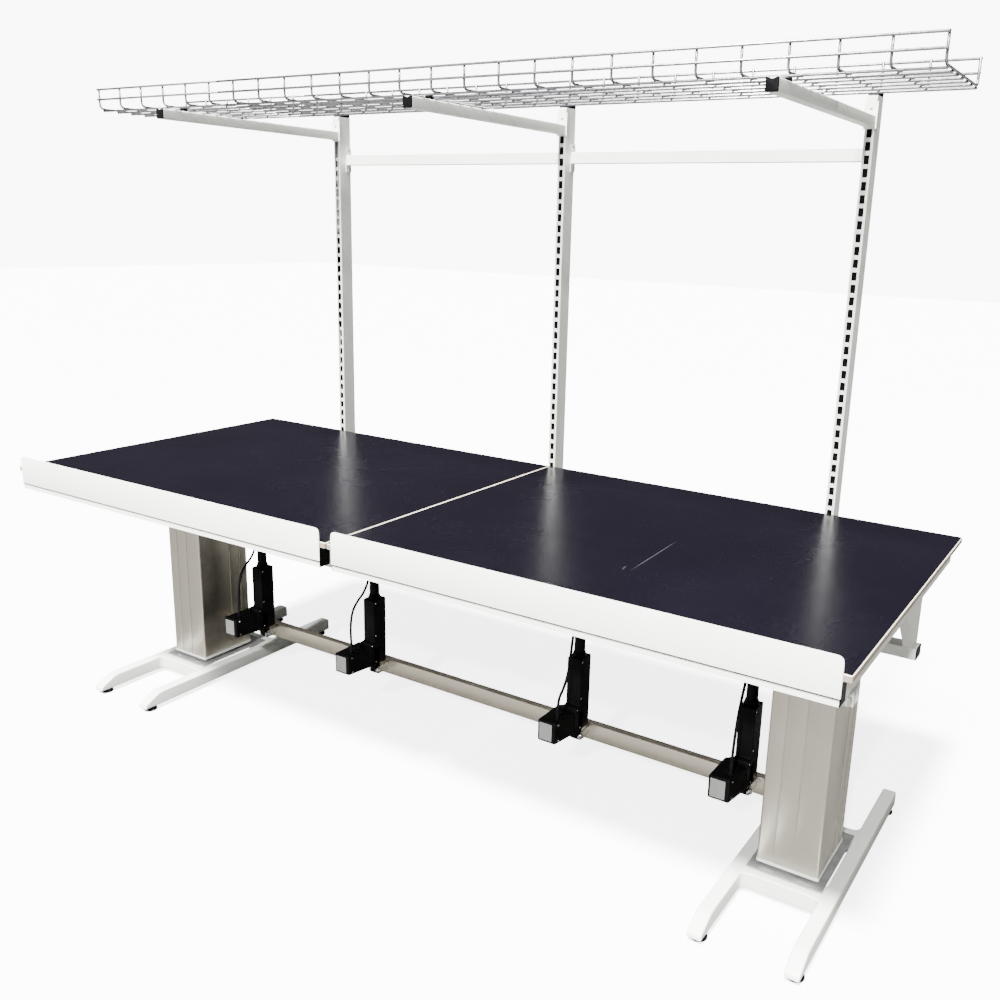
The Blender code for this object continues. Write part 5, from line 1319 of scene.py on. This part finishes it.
class TABLE_OT_caps(bpy.types.Operator):
    """Black plastic caps on the ends of tubes, arms and uprights, and dark strips of painted shade inside the
    uprights
    """

    bl_idname = "table.caps"
    bl_label = "End caps"

    def execute(self, context):
        """Carries each tube's outline through the cap's thickness, and the plan of the painted-shade strips
        up the uprights.
        """
        sizes = context.scene.table_sizes
        thick = sizes.cap_thickness
        shells = []
        for name in UPRIGHTS:
            x, y, z = span(f"upright_{name}")
            cap_heights = (z[1], z[1] + sizes.top_cap_height)
            # A dark strip behind each upright's slots paints the shade seen through them.
            shade_strip = rectangle((x[0] + SHADE_STRIP_INSET, x[1] - SHADE_STRIP_INSET),
                              [y[0] + depth for depth in SHADE_STRIP_DEPTHS], SHADE_STRIP_CORNER, 1)
            shells += [bar(rectangle(x, y, CAP_CORNER), "z", cap_heights, FINE_EDGE, 2),
                       bar(shade_strip, "z", (z[0] + SHADE_STRIP_FOOT, z[1]))]
            self.add_arm_cap(name)
        x, y, z = span("rear_beam")
        shells += self.end_caps(y, z, "x", x, thick)
        x, y, z = span("stretcher_tube")
        shells += self.end_caps((y[1] - STRETCHER_DEPTH, y[1]), z, "x", x, thick)
        for side in SIDES:
            x, y, z = span(f"side_frame_{side}")
            shells += self.end_caps(x, (z[1] - SIDE_ARM_HEIGHT, z[1]), "y", y, thick)
        make_piece("tube_end_caps", "carriage", [(shell, "plastic") for shell in shells])
        return {"FINISHED"}

    def end_caps(self, u_ends, v_ends, axis, ends, thick):
        """A cap of a tube's own outline on each of its two ends."""
        outline = rectangle(u_ends, v_ends, CAP_CORNER)
        return [bar(outline, axis, (ends[0] - thick, ends[0]), FINE_EDGE, 2),
                bar(outline, axis, (ends[1], ends[1] + thick), FINE_EDGE, 2)]

    def add_arm_cap(self, name):
        """Cap at an arm's front, with a hollow in its top edge."""
        x, y, z = span(f"arm_cap_{name}")
        arm_y = span(f"tray_arm_{name}")[1]
        middle, (half, depth) = middle_of(x), ARM_CAP_HOLLOW
        outline = soft_outline([(x[0], z[0]), (x[1], z[0]), (x[1], z[1]), (middle + half, z[1]),
                                (middle, z[1] - depth), (middle - half, z[1]), (x[0], z[1])], ARM_CAP_CORNERS)
        cap = bar(outline, "y", (y[0], arm_y[0]), ARM_CAP_EDGE, 2)
        make_piece(f"arm_front_cap_{name}", "carriage", [(cap, "plastic")], [f"arm_cap_{name}"])


class TABLE_OT_screws(bpy.types.Operator):
    """Screws on the rails' flanges and on the arms' hook plates"""

    bl_idname = "table.screws"
    bl_label = "Rail and arm screws"

    def execute(self, context):
        """Sets a domed head on each screwed face."""
        heads = []
        for side in SIDES:
            x, y, z = span(f"rail_{side}")
            for face, outward in ((x[0] + RAIL_FLANGE, 1), (x[1] - RAIL_FLANGE, -1)):
                heads += [screw_head("x", (middle_of(y), at), face, outward, RAIL_SCREW)
                          for at in (z[0] + RAIL_SCREW_INSET, z[1] - RAIL_SCREW_INSET)]
        for name in UPRIGHTS:
            x, y, z = span(f"tray_arm_{name}")
            place = (middle_of(x), z[1] - ARM_SCREW_DROP)
            heads.append(screw_head("y", place, y[1] - ARM_PLATE, -1, ARM_SCREW))
        make_piece("frame_screws", "carriage", [(head, "steel") for head in heads])
        return {"FINISHED"}


class TABLE_OT_kept_nodes(bpy.types.Operator):
    """Finishes and softened edges for the CAD pieces that stay as they are"""

    bl_idname = "table.kept_nodes"
    bl_label = "Frames and tubes"

    def execute(self, context):
        """Welds each node's triangles, merges flat faces and rounds the edges between them."""
        for finish, names in KEPT_NODES.items():
            for name in names:
                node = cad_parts[name]
                node.material_slots[0].material = material(finish)
                weld = node.modifiers.new("weld", "WELD")
                weld.merge_threshold = WELD_DISTANCE
                flat = node.modifiers.new("flat faces", "DECIMATE")
                flat.decimate_type = "DISSOLVE"
                flat.angle_limit = math.radians(FLAT_ANGLE)
                soft = node.modifiers.new("soft edges", "BEVEL")
                soft.width = context.scene.table_sizes.tube_edge
                soft.segments = EDGE_SEGMENTS
                soft.limit_method = "ANGLE"
                soft.angle_limit = math.radians(EDGE_ANGLE)
        return {"FINISHED"}


OPERATORS = (TABLE_OT_stage, TABLE_OT_cables, TABLE_OT_boards, TABLE_OT_lips, TABLE_OT_base, TABLE_OT_feet,
             TABLE_OT_columns, TABLE_OT_stretcher, TABLE_OT_drives, TABLE_OT_hinges, TABLE_OT_tray,
             TABLE_OT_arms, TABLE_OT_caps, TABLE_OT_screws, TABLE_OT_kept_nodes)


class TABLE_PT_pieces(bpy.types.Panel):
    """Lists the operators in the sidebar"""

    bl_idname = "TABLE_PT_pieces"
    bl_label = "Work table"
    bl_space_type = "VIEW_3D"
    bl_region_type = "UI"
    bl_category = "Table"

    def draw(self, context):
        """One button for each piece or group of pieces."""
        for operator in OPERATORS:
            self.layout.operator(operator.bl_idname)


GROUPS = {"table_sizes": TableSizes, "table_colours": TableColours, "table_light": StageLight}


def register():
    """Registers the classes and hangs the property groups on the scene."""
    for item in (*GROUPS.values(), *OPERATORS, TABLE_PT_pieces):
        bpy.utils.register_class(item)
    for name, group in GROUPS.items():
        setattr(bpy.types.Scene, name, PointerProperty(type=group))


def unregister():
    """Takes the property groups and classes away again."""
    for name in GROUPS:
        delattr(bpy.types.Scene, name)
    for item in reversed((*GROUPS.values(), *OPERATORS, TABLE_PT_pieces)):
        bpy.utils.unregister_class(item)


def main():
    """Makes every piece."""
    register()
    for operator in OPERATORS:
        family, name = operator.bl_idname.split(".")
        getattr(getattr(bpy.ops, family), name)()


if __name__ == "__main__":
    main()
